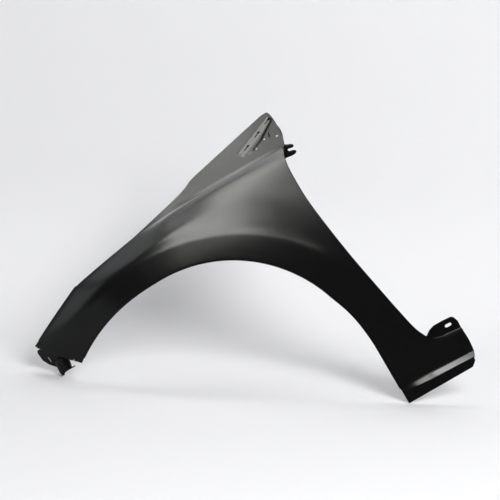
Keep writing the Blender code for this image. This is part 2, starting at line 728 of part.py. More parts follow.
def bracket_lip():
    """The weld lip that lies just under the front flange."""
    bm = bmesh.new()
    bmesh.ops.create_grid(bm, x_segments=1, y_segments=1, size=1.0)
    for vert in bm.verts:
        x = BRACKET_LIP[0] if vert.co.x < 0 else BRACKET_LIP[1]
        start = front_place(x).y + BRACKET_LIP_SETBACK
        y = start if vert.co.y < 0 else bracket_depth(x) + 0.5 * BRACKET_SHEET
        vert.co = (x, y, front_line(x, FOLD + WELD_GAP))
    face_towards(bm, Vector((0, 0, 1)))
    lip = add_object("bracket_lip", finish_mesh(bm, "bracket_lip"), CUTTERS)
    solidify(lip, BRACKET_SHEET)
    return lip


def bumper_bracket(material):
    """The folded front bracket: plate with nose, trimmed to its outline, with lip, foot and slit."""
    near, far = BRACKET_SPAN
    lean = (bracket_depth(far) - bracket_depth(near)) / (far - near)
    out = Vector((lean, -1.0, 0.0)).normalized()
    plate = bracket_plate(out, material)
    under = FOLD + WELD_GAP + 0.5 * BRACKET_SHEET
    outline = BRACKET_OUTLINE + [(x, front_line(x, under)) for x in (far, near)]
    boolean(plate, prism("bracket_trim", outline, *BRACKET_TRIM), "INTERSECT")
    boolean(plate, bracket_lip(), "UNION")
    middle = bracket_depth(0.5 * (FOOT[0] + FOOT[1]))
    foot = box("bracket_foot", (FOOT[0], middle - FOOT_OUT, FOOT_Z),
               (FOOT[1], middle + FOOT_BACK, FOOT_Z + BRACKET_SHEET))
    boolean(plate, foot, "UNION")
    slit_place = Vector((SLIT_CENTRE[0], bracket_depth(SLIT_CENTRE[0]), SLIT_CENTRE[1]))
    slit = slot_cutter("bracket_slit", slit_place, out, (SLIT_LEAN, 0, -1), SLIT_SIZE)
    boolean(plate, slit, "DIFFERENCE")
    return plate


def pillar_bracket(door, material):
    """The fork plate behind the door edge, and the leg that follows the door flange it is welded to."""
    low, high = FORK_LEG
    fold = [(place.z, place.x) for place in reversed(door)]
    near = max(place.y for place in door if low < place.z < high) + FORK_BEHIND
    plate = prism("pillar_fork_bracket", FORK_OUTLINE, near, near + FORK_SHEET, PARTS, material)
    heights = [low] + [z for z, x in fold if low < z < high] + [high]
    sides = [(curve_height(fold, z) + FORK_GAP, z) for z in heights]
    outline = sides + [(x + FORK_SHEET, z) for x, z in reversed(sides)]
    leg = prism("fork_leg", outline, near - FORK_LEG_LENGTH, near + 0.5 * FORK_SHEET)
    boolean(plate, leg, "UNION")
    return plate


def main():
    """Builds the three pieces and moves them so that the seat on the sill tab is the origin."""
    clear_scene()
    mesh, rims = skin_sheet()
    fender_panel(mesh, rims, coat("satin_primer", (0.012, 0.013, 0.012), 0.38))
    bracket_coat = coat("bracket_coat", (0.006, 0.006, 0.006), 0.32)
    bumper_bracket(bracket_coat)
    pillar_bracket(rims["door"], bracket_coat)
    seat = Vector((TAB_SEAT[0], TAB_DEPTH + SHEET, TAB_SEAT[1]))
    for item in bpy.data.objects:
        item.location = item.location - seat


main()
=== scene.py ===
# %% [markdown]
# # A front fender in satin black
#
# A car fender is one thin steel sheet that a press has bent over a wheel arch. This one is the
# left front fender of a small hatchback, still in the black coat that it leaves the factory with.
# Two small brackets are welded to it: one under its nose for the bumper, and a fork behind the
# door edge.
#
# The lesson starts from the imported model, which fixes every place and size. It then lays the
# sheet again with many more rows, because satin black shows each facet as a kink in a highlight.

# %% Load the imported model
import math

import bmesh
import bpy
from mathutils import Matrix, Vector


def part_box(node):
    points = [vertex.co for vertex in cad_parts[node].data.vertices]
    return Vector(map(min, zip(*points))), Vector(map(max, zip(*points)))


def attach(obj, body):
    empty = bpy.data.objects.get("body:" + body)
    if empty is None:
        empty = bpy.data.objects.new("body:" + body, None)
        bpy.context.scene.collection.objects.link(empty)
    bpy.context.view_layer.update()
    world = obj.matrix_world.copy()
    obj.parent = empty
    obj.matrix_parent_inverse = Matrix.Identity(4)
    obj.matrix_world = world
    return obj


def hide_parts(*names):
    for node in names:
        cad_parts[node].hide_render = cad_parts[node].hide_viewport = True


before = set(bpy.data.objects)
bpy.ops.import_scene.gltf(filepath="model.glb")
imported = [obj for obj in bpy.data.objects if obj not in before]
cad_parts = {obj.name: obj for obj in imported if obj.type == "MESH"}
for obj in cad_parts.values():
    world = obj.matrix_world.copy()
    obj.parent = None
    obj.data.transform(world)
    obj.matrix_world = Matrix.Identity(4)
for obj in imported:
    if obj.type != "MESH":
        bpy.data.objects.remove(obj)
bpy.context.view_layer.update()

# %% [markdown]
# ## Where places are measured from
#
# The model's origin is the seat on the sill tab, but a fender is drawn round its wheel. So every
# place below is measured from the wheel centre: X to the rear, Y inboard, Z up. Each finished
# mesh is moved by the seat's place at the end.

# %% Units and the seat
MM = 0.001
INBOARD = Vector((0.0, 1.0, 0.0))
SHEET = 0.9 * MM
SEAT = Vector((494 * MM, 32.9 * MM, -78 * MM))


def in_mm(*places):
    """Side-view places given in millimetres, X and Z, turned into metres."""
    return [(x * MM, z * MM) for x, z in places]


print("seat from the wheel centre:", tuple(SEAT))

# %% [markdown]
# ## The camera comes first
#
# The fender is photographed leaning back, so the car's own up direction is turned 28 degrees in
# the picture, and the lens looks down on it a little. A long lens from 4.5 m keeps the panel
# nearly free of perspective. The camera is set first, because the light is placed from it.

# %% Camera
VIEW_ROLL = math.radians(28)
VIEW_DIP = math.radians(10)
VIEW_DISTANCE = 4.5
AIM_RIGHT = 36.8 * MM
AIM_UP = 349.6 * MM
LENS = 141.3


def camera_axes():
    """Right, up and forward of the camera, and its place, from the wheel centre."""
    right = Vector((math.cos(VIEW_ROLL), 0.0, -math.sin(VIEW_ROLL)))
    forward = Vector((-math.sin(VIEW_ROLL) * math.sin(VIEW_DIP), math.cos(VIEW_DIP),
                      -math.cos(VIEW_ROLL) * math.sin(VIEW_DIP)))
    up = right.cross(forward)
    eye = -VIEW_DISTANCE * forward
    forward = (AIM_RIGHT * right + AIM_UP * up - eye).normalized()
    up = (up - forward * up.dot(forward)).normalized()
    return forward.cross(up), up, forward, eye


def add_object(name, data):
    """Links a new object with this data to the scene."""
    item = bpy.data.objects.new(name, data)
    bpy.context.scene.collection.objects.link(item)
    return item


RIGHT, UP, FORWARD, EYE = camera_axes()
camera = add_object("camera", bpy.data.cameras.new("camera"))
camera.data.lens = LENS
camera.data.clip_end = 60
turned = Matrix((RIGHT, UP, -FORWARD)).transposed().to_4x4()
camera.matrix_world = Matrix.Translation(EYE - SEAT) @ turned
bpy.context.scene.camera = camera
bpy.context.scene.view_settings.view_transform = "Standard"
print("camera looks along", [round(x, 3) for x in FORWARD])

# %% [markdown]
# ## Three small tools for bent sheet
#
# A pressed sheet goes smoothly from one direction to another, and a folded one goes round a
# small radius. `ease` blends a value, `smooth_run` walks along a curve through a few measured
# points, and `rounded` puts a small arc in each corner of a folded section.

# %% Curves and folds
CURVE_STEPS = 48
CORNER_SHARE = 0.45


def ease(value, start, end):
    """Goes smoothly from 0 at start to 1 at end, and stays there."""
    share = min(max((value - start) / (end - start), 0.0), 1.0)
    return share * share * (3.0 - 2.0 * share)


def between(ends, share):
    """The value at a share of the way from the first end to the second."""
    return ends[0] + (ends[1] - ends[0]) * share


def smooth_run(points, count, crowd=1.0):
    """Count + 1 places along a smooth curve through the points; crowd above 1 packs its far end."""
    pts = [Vector(p) for p in points]
    pts = [2 * pts[0] - pts[1]] + pts + [2 * pts[-1] - pts[-2]]
    dense = []
    for a, b, c, d in zip(pts, pts[1:], pts[2:], pts[3:]):
        for step in range(CURVE_STEPS):
            u = step / CURVE_STEPS
            dense.append(0.5 * (2 * b + (c - a) * u + (2 * a - 5 * b + 4 * c - d) * u ** 2
                                + (3 * b - a - 3 * c + d) * u ** 3))
    dense.append(pts[-2])
    lengths = [0.0]
    for a, b in zip(dense, dense[1:]):
        lengths.append(lengths[-1] + (b - a).length)
    places = []
    piece = 0
    for step in range(count + 1):
        target = lengths[-1] * (1 - (1 - step / count) ** crowd)
        while piece < len(dense) - 2 and lengths[piece + 1] < target:
            piece += 1
        share = (target - lengths[piece]) / (lengths[piece + 1] - lengths[piece])
        places.append(dense[piece].lerp(dense[piece + 1], share))
    return places


def height_on(points, x):
    """Second coordinate of a line of points where the first one is x."""
    for (xa, za), (xb, zb) in zip(points, points[1:]):
        if xa <= x <= xb:
            return za + (zb - za) * (x - xa) / (xb - xa)
    return points[-1][1]


def rounded(points, radius, steps=3):
    """The same line with each inner corner replaced by a small arc; radius is one number or a list."""
    line = [points[0]]
    radii = radius if isinstance(radius, list) else [radius] * len(points)
    for before, corner, after, size in zip(points, points[1:], points[2:], radii):
        back, on = before - corner, after - corner
        cut = min(size, CORNER_SHARE * back.length, CORNER_SHARE * on.length)
        start = corner + back.normalized() * cut
        end = corner + on.normalized() * cut
        for step in range(steps + 1):
            share = step / steps
            line.append(start.lerp(corner, share).lerp(corner.lerp(end, share), share))
    line.append(points[-1])
    return line


run = smooth_run([(0, 0), (4, 0)], 4)
print("a run of 4 along a line:", [tuple(round(c, 2) for c in p) for p in run])

# %% [markdown]
# ## The wheel arch
#
# The opening is nearly a circle round the wheel. Forward of the top it opens out, to clear the
# wheel when it steers, and at the rear it runs into an almost straight leg down to the sill. A
# second, larger curve above it is the crease where the flare turns over.

# %% Arch and crease
ARCH_CENTRE = Vector((0.9 * MM, -1.7 * MM))
ARCH_RADIUS = 328.5 * MM
ARCH_OPENS = 95
ARCH_FRONT_SPREAD = 35 * MM
ARCH_LEG_X = 344.3 * MM
ARCH_LEG_SLOPE = 0.04
ARCH_LEG_BLEND = (21, -7)
BAND_WIDTH = 56.5 * MM
CREASE_OPENS = 90
CREASE_FRONT_SPREAD = 31 * MM
CREASE_REAR_SPREAD = 15 * MM
CREASE_REAR = (75, 15)
TIP_ANGLE = 139.5


def arch_radius(angle):
    """Radius of the arch edge at an angle from the rear, in degrees."""
    opened = max(0.0, angle - ARCH_OPENS) / (TIP_ANGLE - ARCH_OPENS)
    circle = ARCH_RADIUS + ARCH_FRONT_SPREAD * opened ** 1.5
    share = ease(angle, *ARCH_LEG_BLEND)
    if share == 0.0:
        return circle
    turn = math.radians(angle)
    leg = ARCH_LEG_X / (math.cos(turn) + ARCH_LEG_SLOPE * math.sin(turn))
    return circle + (leg - circle) * share


def arch_place(angle):
    """Side-view place of the arch edge."""
    turn = math.radians(angle)
    return ARCH_CENTRE + Vector((math.cos(turn), math.sin(turn))) * arch_radius(angle)


def leg_x(z):
    """X of the straight rear leg at a height."""
    return ARCH_CENTRE.x + ARCH_LEG_X - ARCH_LEG_SLOPE * (z - ARCH_CENTRE.y)


def crease_radius(angle):
    """Radius of the crease, one band width outside the arch."""
    front = max(0.0, angle - CREASE_OPENS) / (TIP_ANGLE - CREASE_OPENS)
    rear = max(0.0, CREASE_REAR[0] - angle) / (CREASE_REAR[0] - CREASE_REAR[1])
    leg = arch_radius(angle) - ARCH_RADIUS if angle < ARCH_LEG_BLEND[0] else 0.0
    return ARCH_RADIUS + BAND_WIDTH + leg + CREASE_FRONT_SPREAD * front ** 2 + CREASE_REAR_SPREAD * rear


print("arch radius at the top and the nose:", [round(arch_radius(a), 4) for a in (90, TIP_ANGLE)])

# %% [markdown]
# ## How the skin bulges
#
# Seen from above, the nose curves inboard and the door side stays nearly flat. In section the
# skin leans in towards the shoulder. On top of that crown stands the flare, which is full over
# the wheel and fades out before the nose and the sill.

# %% Crown and flare
WIDEST_X = 60 * MM
WIDEST_Z = 150 * MM
NOSE_CURVE = 0.72
DOOR_CURVE = 0.03
SHOULDER_CURVE = 0.67
SILL_CURVE = 0.10
FLARE = 13.9 * MM
FLARE_REACH = 58 * MM
FLARE_RIM_FADE = 45 * MM
FLARE_SILL_FADE = (-5, 30)
FLARE_NOSE_FADE = (112, 139)
FLARE_NOSE_LOSS = 0.7
BAND_TUCK = 6 * MM


def crown(x, z):
    """Depth of the plain skin inboard of its widest point."""
    plan = NOSE_CURVE * max(0.0, WIDEST_X - x) ** 2 + DOOR_CURVE * max(0.0, x - WIDEST_X) ** 2
    section = SHOULDER_CURVE * max(0.0, z - WIDEST_Z) ** 2 + SILL_CURVE * max(0.0, WIDEST_Z - z) ** 2
    return plan + section


def flare(angle):
    """How far the crease stands out at an arch angle."""
    return FLARE * ease(angle, *FLARE_SILL_FADE) * (1 - FLARE_NOSE_LOSS * ease(angle, *FLARE_NOSE_FADE))


print("flare over the wheel:", flare(90), "at the nose:", round(flare(TIP_ANGLE), 4))

# %% [markdown]
# ## The outline and its spokes
#
# Everything between the arch and the outline is laid along spokes, like the ribs of a fan. Each
# spoke joins an angle of the arch to a place on the outline, and the five named corners of the
# outline keep their own angles. The columns are close, about 2 to 5 mm apart.

# %% Outline and spokes
FRONT_TIP, BONNET_CORNER, SHOULDER_CORNER, DOOR_CORNER, SILL_CORNER = in_mm(
    (-363, 315), (-186, 402.8), (-29, 437.3), (370, 459), (540, -98))
BONNET_ANGLE, SHOULDER_ANGLE, DOOR_ANGLE, SILL_ANGLE, LEDGE_ANGLE = 114.6, 93.8, 50.9, -17.5, -21.4
LAMP_EDGE = [FRONT_TIP, *in_mm((-290.5, 354.5), (-218.5, 391.5), (-203, 398)), BONNET_CORNER]
BONNET_EDGE = [BONNET_CORNER, *in_mm((-110, 420.3)), SHOULDER_CORNER]
SHOULDER = [SHOULDER_CORNER, *in_mm((41, 446), (109, 451), (204, 454)), DOOR_CORNER]
DOOR_EDGE = [DOOR_CORNER, *in_mm((362, 430), (360.5, 391), (366, 314), (389.7, 181), (413.5, 74),
                                 (430.5, 3), (446.2, -49.5), (476.5, -90.5), (512, -97)), SILL_CORNER]
REAR_END = [SILL_CORNER, *in_mm((542.3, -125), (541.3, -150))]
SHOULDER_CROWD = 1.3
STRETCHES = {"lamp": (LAMP_EDGE, 44, TIP_ANGLE, BONNET_ANGLE, 1.0),
             "bonnet": (BONNET_EDGE, 36, BONNET_ANGLE, SHOULDER_ANGLE, 1.0),
             "shoulder": (SHOULDER, 170, SHOULDER_ANGLE, DOOR_ANGLE, SHOULDER_CROWD),
             "door": (DOOR_EDGE, 136, DOOR_ANGLE, SILL_ANGLE, 1.0),
             "rear": (REAR_END, 12, SILL_ANGLE, LEDGE_ANGLE, 1.0)}
BAND_ROWS = 10
BODY_ROWS = 44
BODY_CROWD = (1.25, 1.3)


def fan_of_spokes():
    """Arch angle, arch place and outline place of each column, and the column where each edge starts."""
    columns = []
    starts = {}
    for name, (edge, count, first, last, crowd) in STRETCHES.items():
        starts[name] = max(len(columns) - 1, 0)
        for step, place in enumerate(smooth_run(edge, count, crowd)):
            if step == 0 and columns:
                continue
            share = 1 - (1 - step / count) ** crowd
            angle = first + (last - first) * share
            columns.append((angle, arch_place(angle), place))
    return columns, starts


spokes, edge_start = fan_of_spokes()
print(len(spokes), "spokes; edges start at", edge_start)

# %% [markdown]
# ## The outer skin
#
# Along a spoke the first rows cross the band above the wheel, from the arch edge to the crease,
# and the others cross the body panel to the outline. The flare dies away from the crease like a
# bell curve, which gives the soft hollow above it. Under the shoulder the skin leans in a little
# more, and at its edge it turns over in a narrow roll: that is the grey band and the bright line
# on the real panel.

# %% Outer skin
ROLL_SLOPE = 0.16
ROLL_WIDTH = 20 * MM
ROLL_FADE = 50 * MM
ROLL_START = (110 * MM, 320 * MM)
EDGE_SLOPE = (0.5, 0.22)
EDGE_WIDTH = (7.5 * MM, 4.5 * MM)
rim_line = [tuple(place) for angle, foot, place in spokes[:edge_start["door"] + 1]]


def shoulder_roll(x, below):
    """How far the skin stands out at a distance below the shoulder, for its roll over the edge."""
    rear = ease(x, *ROLL_START)
    slope, width = between(EDGE_SLOPE, rear), between(EDGE_WIDTH, rear)
    roll = rear * ROLL_SLOPE * ROLL_WIDTH * math.tanh(below / ROLL_WIDTH)
    edge = slope * width * (1 - math.exp(-below / width))
    return (roll + edge) * math.exp(-(max(0.0, below - ROLL_WIDTH) / ROLL_FADE) ** 2)


def spoke_line(angle, inner, outer, offset=None):
    """The points along one spoke, from the arch edge to the outline."""
    inner, outer = Vector(inner), Vector(outer)
    length = (outer - inner).length
    band = (crease_radius(angle) - arch_radius(angle)) / length
    shares = [band * row / BAND_ROWS for row in range(BAND_ROWS)]
    for row in range(BODY_ROWS + 1):
        shares.append(band + (1 - band) * (1 - (1 - (row / BODY_ROWS) ** BODY_CROWD[0]) ** BODY_CROWD[1]))
    out = flare(angle)
    line = []
    for share in shares:
        x, z = inner.lerp(outer, share)
        past = (share - band) * length
        stand = out * math.exp(-(past / FLARE_REACH) ** 2)
        below = max(0.0, height_on(rim_line, x) - z)
        stand *= math.sin(0.5 * math.pi * min(below / FLARE_RIM_FADE, 1.0))
        if past < 0:
            stand = out * (1 - BAND_TUCK / FLARE * (1 - share / band))
        depth = crown(x, z) - stand - shoulder_roll(x, below)
        line.append(Vector((x, depth + (offset(x) if offset else 0.0), z)))
    return line


skin = [spoke_line(*spoke) for spoke in spokes]
print("skin:", len(skin), "columns of", len(skin[0]), "points")

# %% [markdown]
# ## The sill end
#
# Below the last spoke the panel meets the door sill. It swells out to a ledge, turns sharply
# under it, drops as a tucked face and ends in a weld lip. Five lines from the arch leg to the rear
# end set this section, and `rounded` turns them into real folds, each with its own radius.

# %% Sill ledge and lip
SILL_HEIGHTS = [z * MM for z in (-150.5, -165, -167.5, -182, -194.3)]
SILL_ENDS = in_mm((541, -154), (536, -165), (534, -168), (533.5, -177), (522, -188.3))
LEDGE_OUT = 12 * MM
LEDGE_FADE = (345 * MM, 445 * MM)
LEDGE_LEAST = 0.2
TUCK_DEPTH = 5 * MM
LIP_DEPTH = 6 * MM
LEDGE_FOLDS = [6 * MM, 1.2 * MM, 1.0 * MM, 1.6 * MM]
LEDGE_UNDER = 0.35


def ledge_offset(x):
    """How far the ledge stands out of the skin, as a negative depth."""
    return -LEDGE_OUT * between((LEDGE_LEAST, 1.0), ease(x, *LEDGE_FADE))


def sill_line(line):
    """The points along one of the five lines of the sill."""
    height, rear = SILL_HEIGHTS[line], SILL_ENDS[line]
    offset = [lambda x: 0.0, ledge_offset, lambda x: LEDGE_UNDER * ledge_offset(x),
              lambda x: TUCK_DEPTH, lambda x: LIP_DEPTH][line]
    return spoke_line(LEDGE_ANGLE, (leg_x(height), height), rear, offset)


def sill_sections():
    """Rounded sections from the last spoke down to the weld lip, one for each row of the skin."""
    lines = [skin[-1]] + [sill_line(line) for line in range(len(SILL_ENDS))]
    return [rounded(list(section), LEDGE_FOLDS, 4) for section in zip(*lines)]


sill = [list(line) for line in zip(*sill_sections())]
skin += sill[1:]
print("sill:", len(sill), "lines below the last spoke")

# %% [markdown]
# ## The face above the shoulder
#
# Behind the shoulder crease the panel folds over towards the bonnet and rises to a rounded tip
# under the windscreen. A strip near the tip is pressed at its own tilt to seat the plastic cowl,
# and its three keyhole slots take the clips.

# %% Face above the shoulder
TOP_LEAN = 1.22
CREASE_STEP = 1.6 * MM
CREASE_STEP_HEIGHT = 9 * MM
CREASE_STEP_START = (60 * MM, 150 * MM)
REAR_BULGE = 13 * MM
REAR_BULGE_START = 0.8
REAR_BULGE_DROP = 0.15
REAR_BULGE_ROUND = 0.4
TOP_EDGE = [SHOULDER_CORNER, *in_mm((105, 473), (148, 490.5), (198, 503.8), (330, 536.6),
                                    (357, 543.6), (373, 545))]
TOP_ROWS = 52
STRIP_CORNERS = in_mm((271.5, 495.5), (272.5, 488), (279, 483), (292, 479.5), (305.5, 481.5),
                      (335, 495), (379.5, 524.5), (371, 538.5))
STRIP_TILT = 2.5 * MM
STRIP_HINGE = 0.3
STRIP_EDGE = 2.2 * MM
STRIP_WIDTH = 18 * MM
TOP_OUTWARD = Vector((0.0, -1.0, TOP_LEAN)).normalized()


def strip_rise(x, z):
    """Height of the strip: a tilted plate, nearly flush at its upper edge and proud at its lower one."""
    corners = [Vector(p) for p in STRIP_CORNERS]
    inside = []
    for a, b in zip(corners, corners[1:] + corners[:1]):
        along = (b - a).normalized()
        inside.append((Vector((x, z)) - a).dot(Vector((-along.y, along.x))))
    across = min(max(inside[-1], 0.0) / STRIP_WIDTH, 1.0)
    return STRIP_TILT * ease(min(inside), 0.0, STRIP_EDGE) * (across - STRIP_HINGE)


def top_place(x, z, foot=None):
    """A place on the face above the shoulder, over the crease point foot."""
    foot = foot or (x, height_on(SHOULDER, x))
    height = z - foot[1]
    step = CREASE_STEP * ease(foot[0], *CREASE_STEP_START) * ease(height, 0.0, CREASE_STEP_HEIGHT)
    depth = crown(*foot) + step + TOP_LEAN * height
    return Vector((x, depth, z)) + TOP_OUTWARD * strip_rise(x, z)


def top_line(foot, head, bulge):
    """Points from the shoulder crease up to the bonnet edge."""
    line = []
    for row in range(TOP_ROWS + 1):
        even = row / TOP_ROWS
        share = 0.5 * even + 0.25 * (1 - math.cos(math.pi * even))
        x, z = foot.lerp(head, share)
        out = max(0.0, 4 * share * (1 - share)) ** REAR_BULGE_ROUND
        x += REAR_BULGE * bulge * out * (1 - REAR_BULGE_DROP * share)
        line.append(top_place(x, z, foot))
    return line


shoulder_count = STRETCHES["shoulder"][1]
shoulder_feet = [spokes[edge_start["shoulder"] + step][2] for step in range(shoulder_count + 1)]
shoulder_heads = smooth_run(TOP_EDGE, shoulder_count, SHOULDER_CROWD)
top = [top_line(foot, head, ease(step / shoulder_count, REAR_BULGE_START, 1.0))
       for step, (foot, head) in enumerate(zip(shoulder_feet, shoulder_heads))]
print("top face:", len(top), "columns of", len(top[0]), "points")

# %% [markdown]
# ## Return flanges
#
# A bare sheet edge is sharp and weak, so the press turns each edge inboard over a 2 mm radius.
# The arch lip, the lamp edge, the front edge, the door edge and the edge under the tip all have
# this plain fold. It is laid from the last two points of each column: they give the edge and the
# way out of it. At the tip and at the end of the door edge the fold shrinks away.

# %% Plain folds
FOLD = 2.0 * MM
FOLD_STEPS = 4
ARCH_FLANGE = 18 * MM
DOOR_FLANGE = 12 * MM
LAMP_FLANGE = 12 * MM
FRONT_FLANGE = 20 * MM
REAR_TIP_FLANGE = 9 * MM
NOSE_GAP = 4
LAMP_END_GAP = 3
SILL_LINES_FOLDED = 4
FRONT_GAPS = (16 * MM, 9 * MM)
TIP_ROWS = slice(13, 30)
TIP_TAPER = 5
TAPER_LEAST = 0.2


def plain_fold(edge, inner, depth, size=1.0):
    """The section of a flange that turns straight inboard; size below 1 makes it smaller."""
    outward = (edge - inner).normalized()
    radius = FOLD * size
    section = [edge]
    for step in range(1, FOLD_STEPS + 1):
        turn = math.radians(90 * step / FOLD_STEPS)
        section.append(edge + outward * radius * math.sin(turn) + INBOARD * radius * (1 - math.cos(turn)))
    section.append(edge + outward * radius + INBOARD * depth * size)
    return section


def tapered_folds(pairs, depth, from_end, taper):
    """A fold for each pair of points, smaller near an end; from_end counts the columns left to it."""
    folds = []
    for column, (edge, inner) in enumerate(pairs):
        size = between((TAPER_LEAST, 1.0), ease(from_end(column) / taper, 0.0, 1.0))
        folds.append(plain_fold(edge, inner, depth, size))
    return folds


door, rear = edge_start["door"], edge_start["rear"]
arch_lines = skin[NOSE_GAP:len(spokes) + SILL_LINES_FOLDED]
arch_flange = [plain_fold(line[0], line[1], ARCH_FLANGE) for line in arch_lines]
front_foot, front_head = skin[0][0], skin[0][-1]
front_flange = [plain_fold(edge, inner, FRONT_FLANGE) for edge, inner in zip(skin[0], skin[1])
                if (edge - front_foot).length > FRONT_GAPS[0]
                and (edge - front_head).length > FRONT_GAPS[1]]
lamp_lines = skin[NOSE_GAP:edge_start["bonnet"] - LAMP_END_GAP]
lamp_flange = [plain_fold(line[-1], line[-2], LAMP_FLANGE) for line in lamp_lines]
tip_pairs = list(zip(top[-1], top[-2]))[TIP_ROWS]
tip_flange = tapered_folds(tip_pairs, REAR_TIP_FLANGE, lambda row: min(row, len(tip_pairs) - 1 - row),
                           TIP_TAPER)
print("flange columns:", len(arch_flange), len(front_flange), len(lamp_flange), len(tip_flange))

# %% [markdown]
# ## The bonnet gutter
#
# Along the bonnet the edge turns down a wall and then inboard as a ledge, where the panel is
# bolted to the car. The ledge widens to a pad at each bolt, and each pad is flat, so that its
# bolt pulls up square.

# %% Bonnet gutter
GUTTER_SETBACK = 3.2 * MM
GUTTER_DEPTH = 17 * MM
LEDGE_WIDTH = 9 * MM
PAD_WIDTH = 23.5 * MM
PAD_LENGTH = 34 * MM
PAD_PLACES = [-150 * MM, 30 * MM, 200 * MM, 330 * MM]
GUTTER_FOLD = 0.8 * FOLD
GUTTER_LEAN = 0.35 * FOLD
TIP_COLUMNS = 23


def gutter_section(edge, inner):
    """The section from the bonnet edge down the wall and along the ledge."""
    outward = (edge - inner).normalized()
    near = min(abs(edge.x - x) for x in PAD_PLACES)
    half = 0.5 * PAD_LENGTH
    reach = between((LEDGE_WIDTH, PAD_WIDTH), ease(near, half + 2 * FOLD, half - FOLD))
    wall, floor = edge.y + GUTTER_SETBACK, edge.z - GUTTER_DEPTH
    over = edge + outward * GUTTER_LEAN + INBOARD * GUTTER_FOLD
    below = [(wall, edge.z - FOLD), (wall, floor), (wall + LEDGE_WIDTH, floor),
             (wall + FOLD + reach, floor)]
    return [edge, over] + [Vector((edge.x, y, z)) for y, z in below]


def flatten_pad(sections, x):
    """Lays one pad of the ledge in a true plane; returns its slot's centre and its slope along X."""
    pad = [s for s in sections if abs(s[0].x - x) <= 0.5 * PAD_LENGTH + FOLD]
    first, last = pad[0][-1].copy(), pad[-1][-1].copy()
    slope = (last.z - first.z) / (last.x - first.x)
    for section in pad:
        for place in section[3:]:
            place.z = first.z + slope * (place.x - first.x)
    middle = min(pad, key=lambda s: abs(s[0].x - x))[3].y + FOLD
    return Vector((x, middle + 0.5 * PAD_WIDTH, first.z + slope * (x - first.x))), slope


bonnet, shoulder = edge_start["bonnet"], edge_start["shoulder"]
gutter_pairs = [(line[-1], line[-2]) for line in skin[bonnet:shoulder + 1]]
gutter_pairs += [(line[-1], line[-2]) for line in top[1:-TIP_COLUMNS]]
gutter = [gutter_section(*pair) for pair in gutter_pairs]
pads = [flatten_pad(gutter, x) for x in PAD_PLACES]
gutter = [rounded(section, GUTTER_FOLD, 2) for section in gutter]
print("gutter:", len(gutter), "sections,", len(pads), "bolt pads")

# %% [markdown]
# ## The sill tab and the door flange
#
# Behind the rear lower corner a tab stands up from a shelf, with a slot for the sill bolt. Its
# plate is the flat face that the whole part is measured from. The door flange ends just before
# it.

# %% Sill tab and door flange
TAB_DEPTH = 32 * MM
TAB_RISE = (-7 * MM, 2 * MM)
TAB_RISE_SPAN = (461 * MM, 484 * MM)
TAB_LEAST = 3 * MM
TAB_SHARES = (0.15, 0.4, 0.7, 1.0)
TAB_TOP = in_mm((459.5, -77), (472, -67), (485, -62.3), (505, -61.5), (530, -62.3), (535.5, -66.5),
                (540, -78))
DOOR_END_GAP = 1
DOOR_TAPER = 8


def tab_section(edge, inner):
    """Shelf inboard from the skin, then the plate up to the tab's outline."""
    outward = (edge - inner).normalized()
    rise = edge.z + between(TAB_RISE, ease(edge.x, *TAB_RISE_SPAN))
    head = max(height_on(TAB_TOP, edge.x), rise + TAB_LEAST)
    foot = rise + FOLD
    shelf = [edge, edge + 0.5 * outward * FOLD + INBOARD * FOLD, Vector((edge.x, TAB_DEPTH, rise))]
    plate = [Vector((edge.x, TAB_DEPTH, between((foot, head), share))) for share in TAB_SHARES]
    return rounded(shelf + plate[:1], FOLD)[:-1] + plate


tab_columns = [c for c in range(door, rear + 1)
               if skin[c][-1].x > TAB_TOP[0][0] and skin[c][-1].z < 0]
tab = [tab_section(skin[c][-1], skin[c][-2]) for c in tab_columns]
door_pairs = [(line[-1], line[-2]) for line in skin[door:tab_columns[0] - DOOR_END_GAP]]
door_flange = tapered_folds(door_pairs, DOOR_FLANGE, lambda column: len(door_pairs) - 1 - column,
                            DOOR_TAPER)
print("tab:", len(tab), "columns; door flange:", len(door_flange), "columns")

# %% [markdown]
# ## One sheet with a thickness
#
# The patches share their borders, so merging points that lie together makes them one surface.
# Its faces are turned outboard while it is still open, and Solidify then adds 0.9 mm of steel on
# the inner side.

# %% Sew the patches
def to_mesh(bm, name):
    """Writes an edit mesh to a new mesh and frees it."""
    mesh = bpy.data.meshes.new(name)
    bm.to_mesh(mesh)
    bm.free()
    return mesh


def sew(name, patches):
    """One mesh from grids of points, with shared borders merged and faces turned outboard."""
    bm = bmesh.new()
    for patch in patches:
        rows = [[bm.verts.new(place) for place in line] for line in patch]
        for a, b in zip(rows, rows[1:]):
            for i in range(len(a) - 1):
                bm.faces.new((a[i], a[i + 1], b[i + 1], b[i]))
    bmesh.ops.remove_doubles(bm, verts=bm.verts, dist=0.01 * MM)
    bmesh.ops.recalc_face_normals(bm, faces=bm.faces)
    if sum(face.normal.y * face.calc_area() for face in bm.faces) > 0:
        bmesh.ops.reverse_faces(bm, faces=bm.faces)
    return to_mesh(bm, name)


def add_modifier(item, kind, **settings):
    """Adds a modifier with its settings."""
    modifier = item.modifiers.new(kind.lower(), kind)
    for name, value in settings.items():
        setattr(modifier, name, value)


def apply_modifiers(item):
    """Turns the evaluated object into a plain mesh and drops its modifiers."""
    graph = bpy.context.evaluated_depsgraph_get()
    mesh = bpy.data.meshes.new_from_object(item.evaluated_get(graph))
    item.modifiers.clear()
    item.data = mesh
    return item


def give_thickness(item, thickness):
    """Solidify on the side that the faces look away from."""
    add_modifier(item, "SOLIDIFY", thickness=thickness, offset=-1.0, use_quality_normals=True)
    return apply_modifiers(item)


sheet = sew("pressed_panel", [skin, top, arch_flange, front_flange, lamp_flange, tip_flange,
                              gutter, tab, door_flange])
panel = give_thickness(add_object("pressed_panel", sheet), SHEET)
print("panel:", len(panel.data.polygons), "faces")

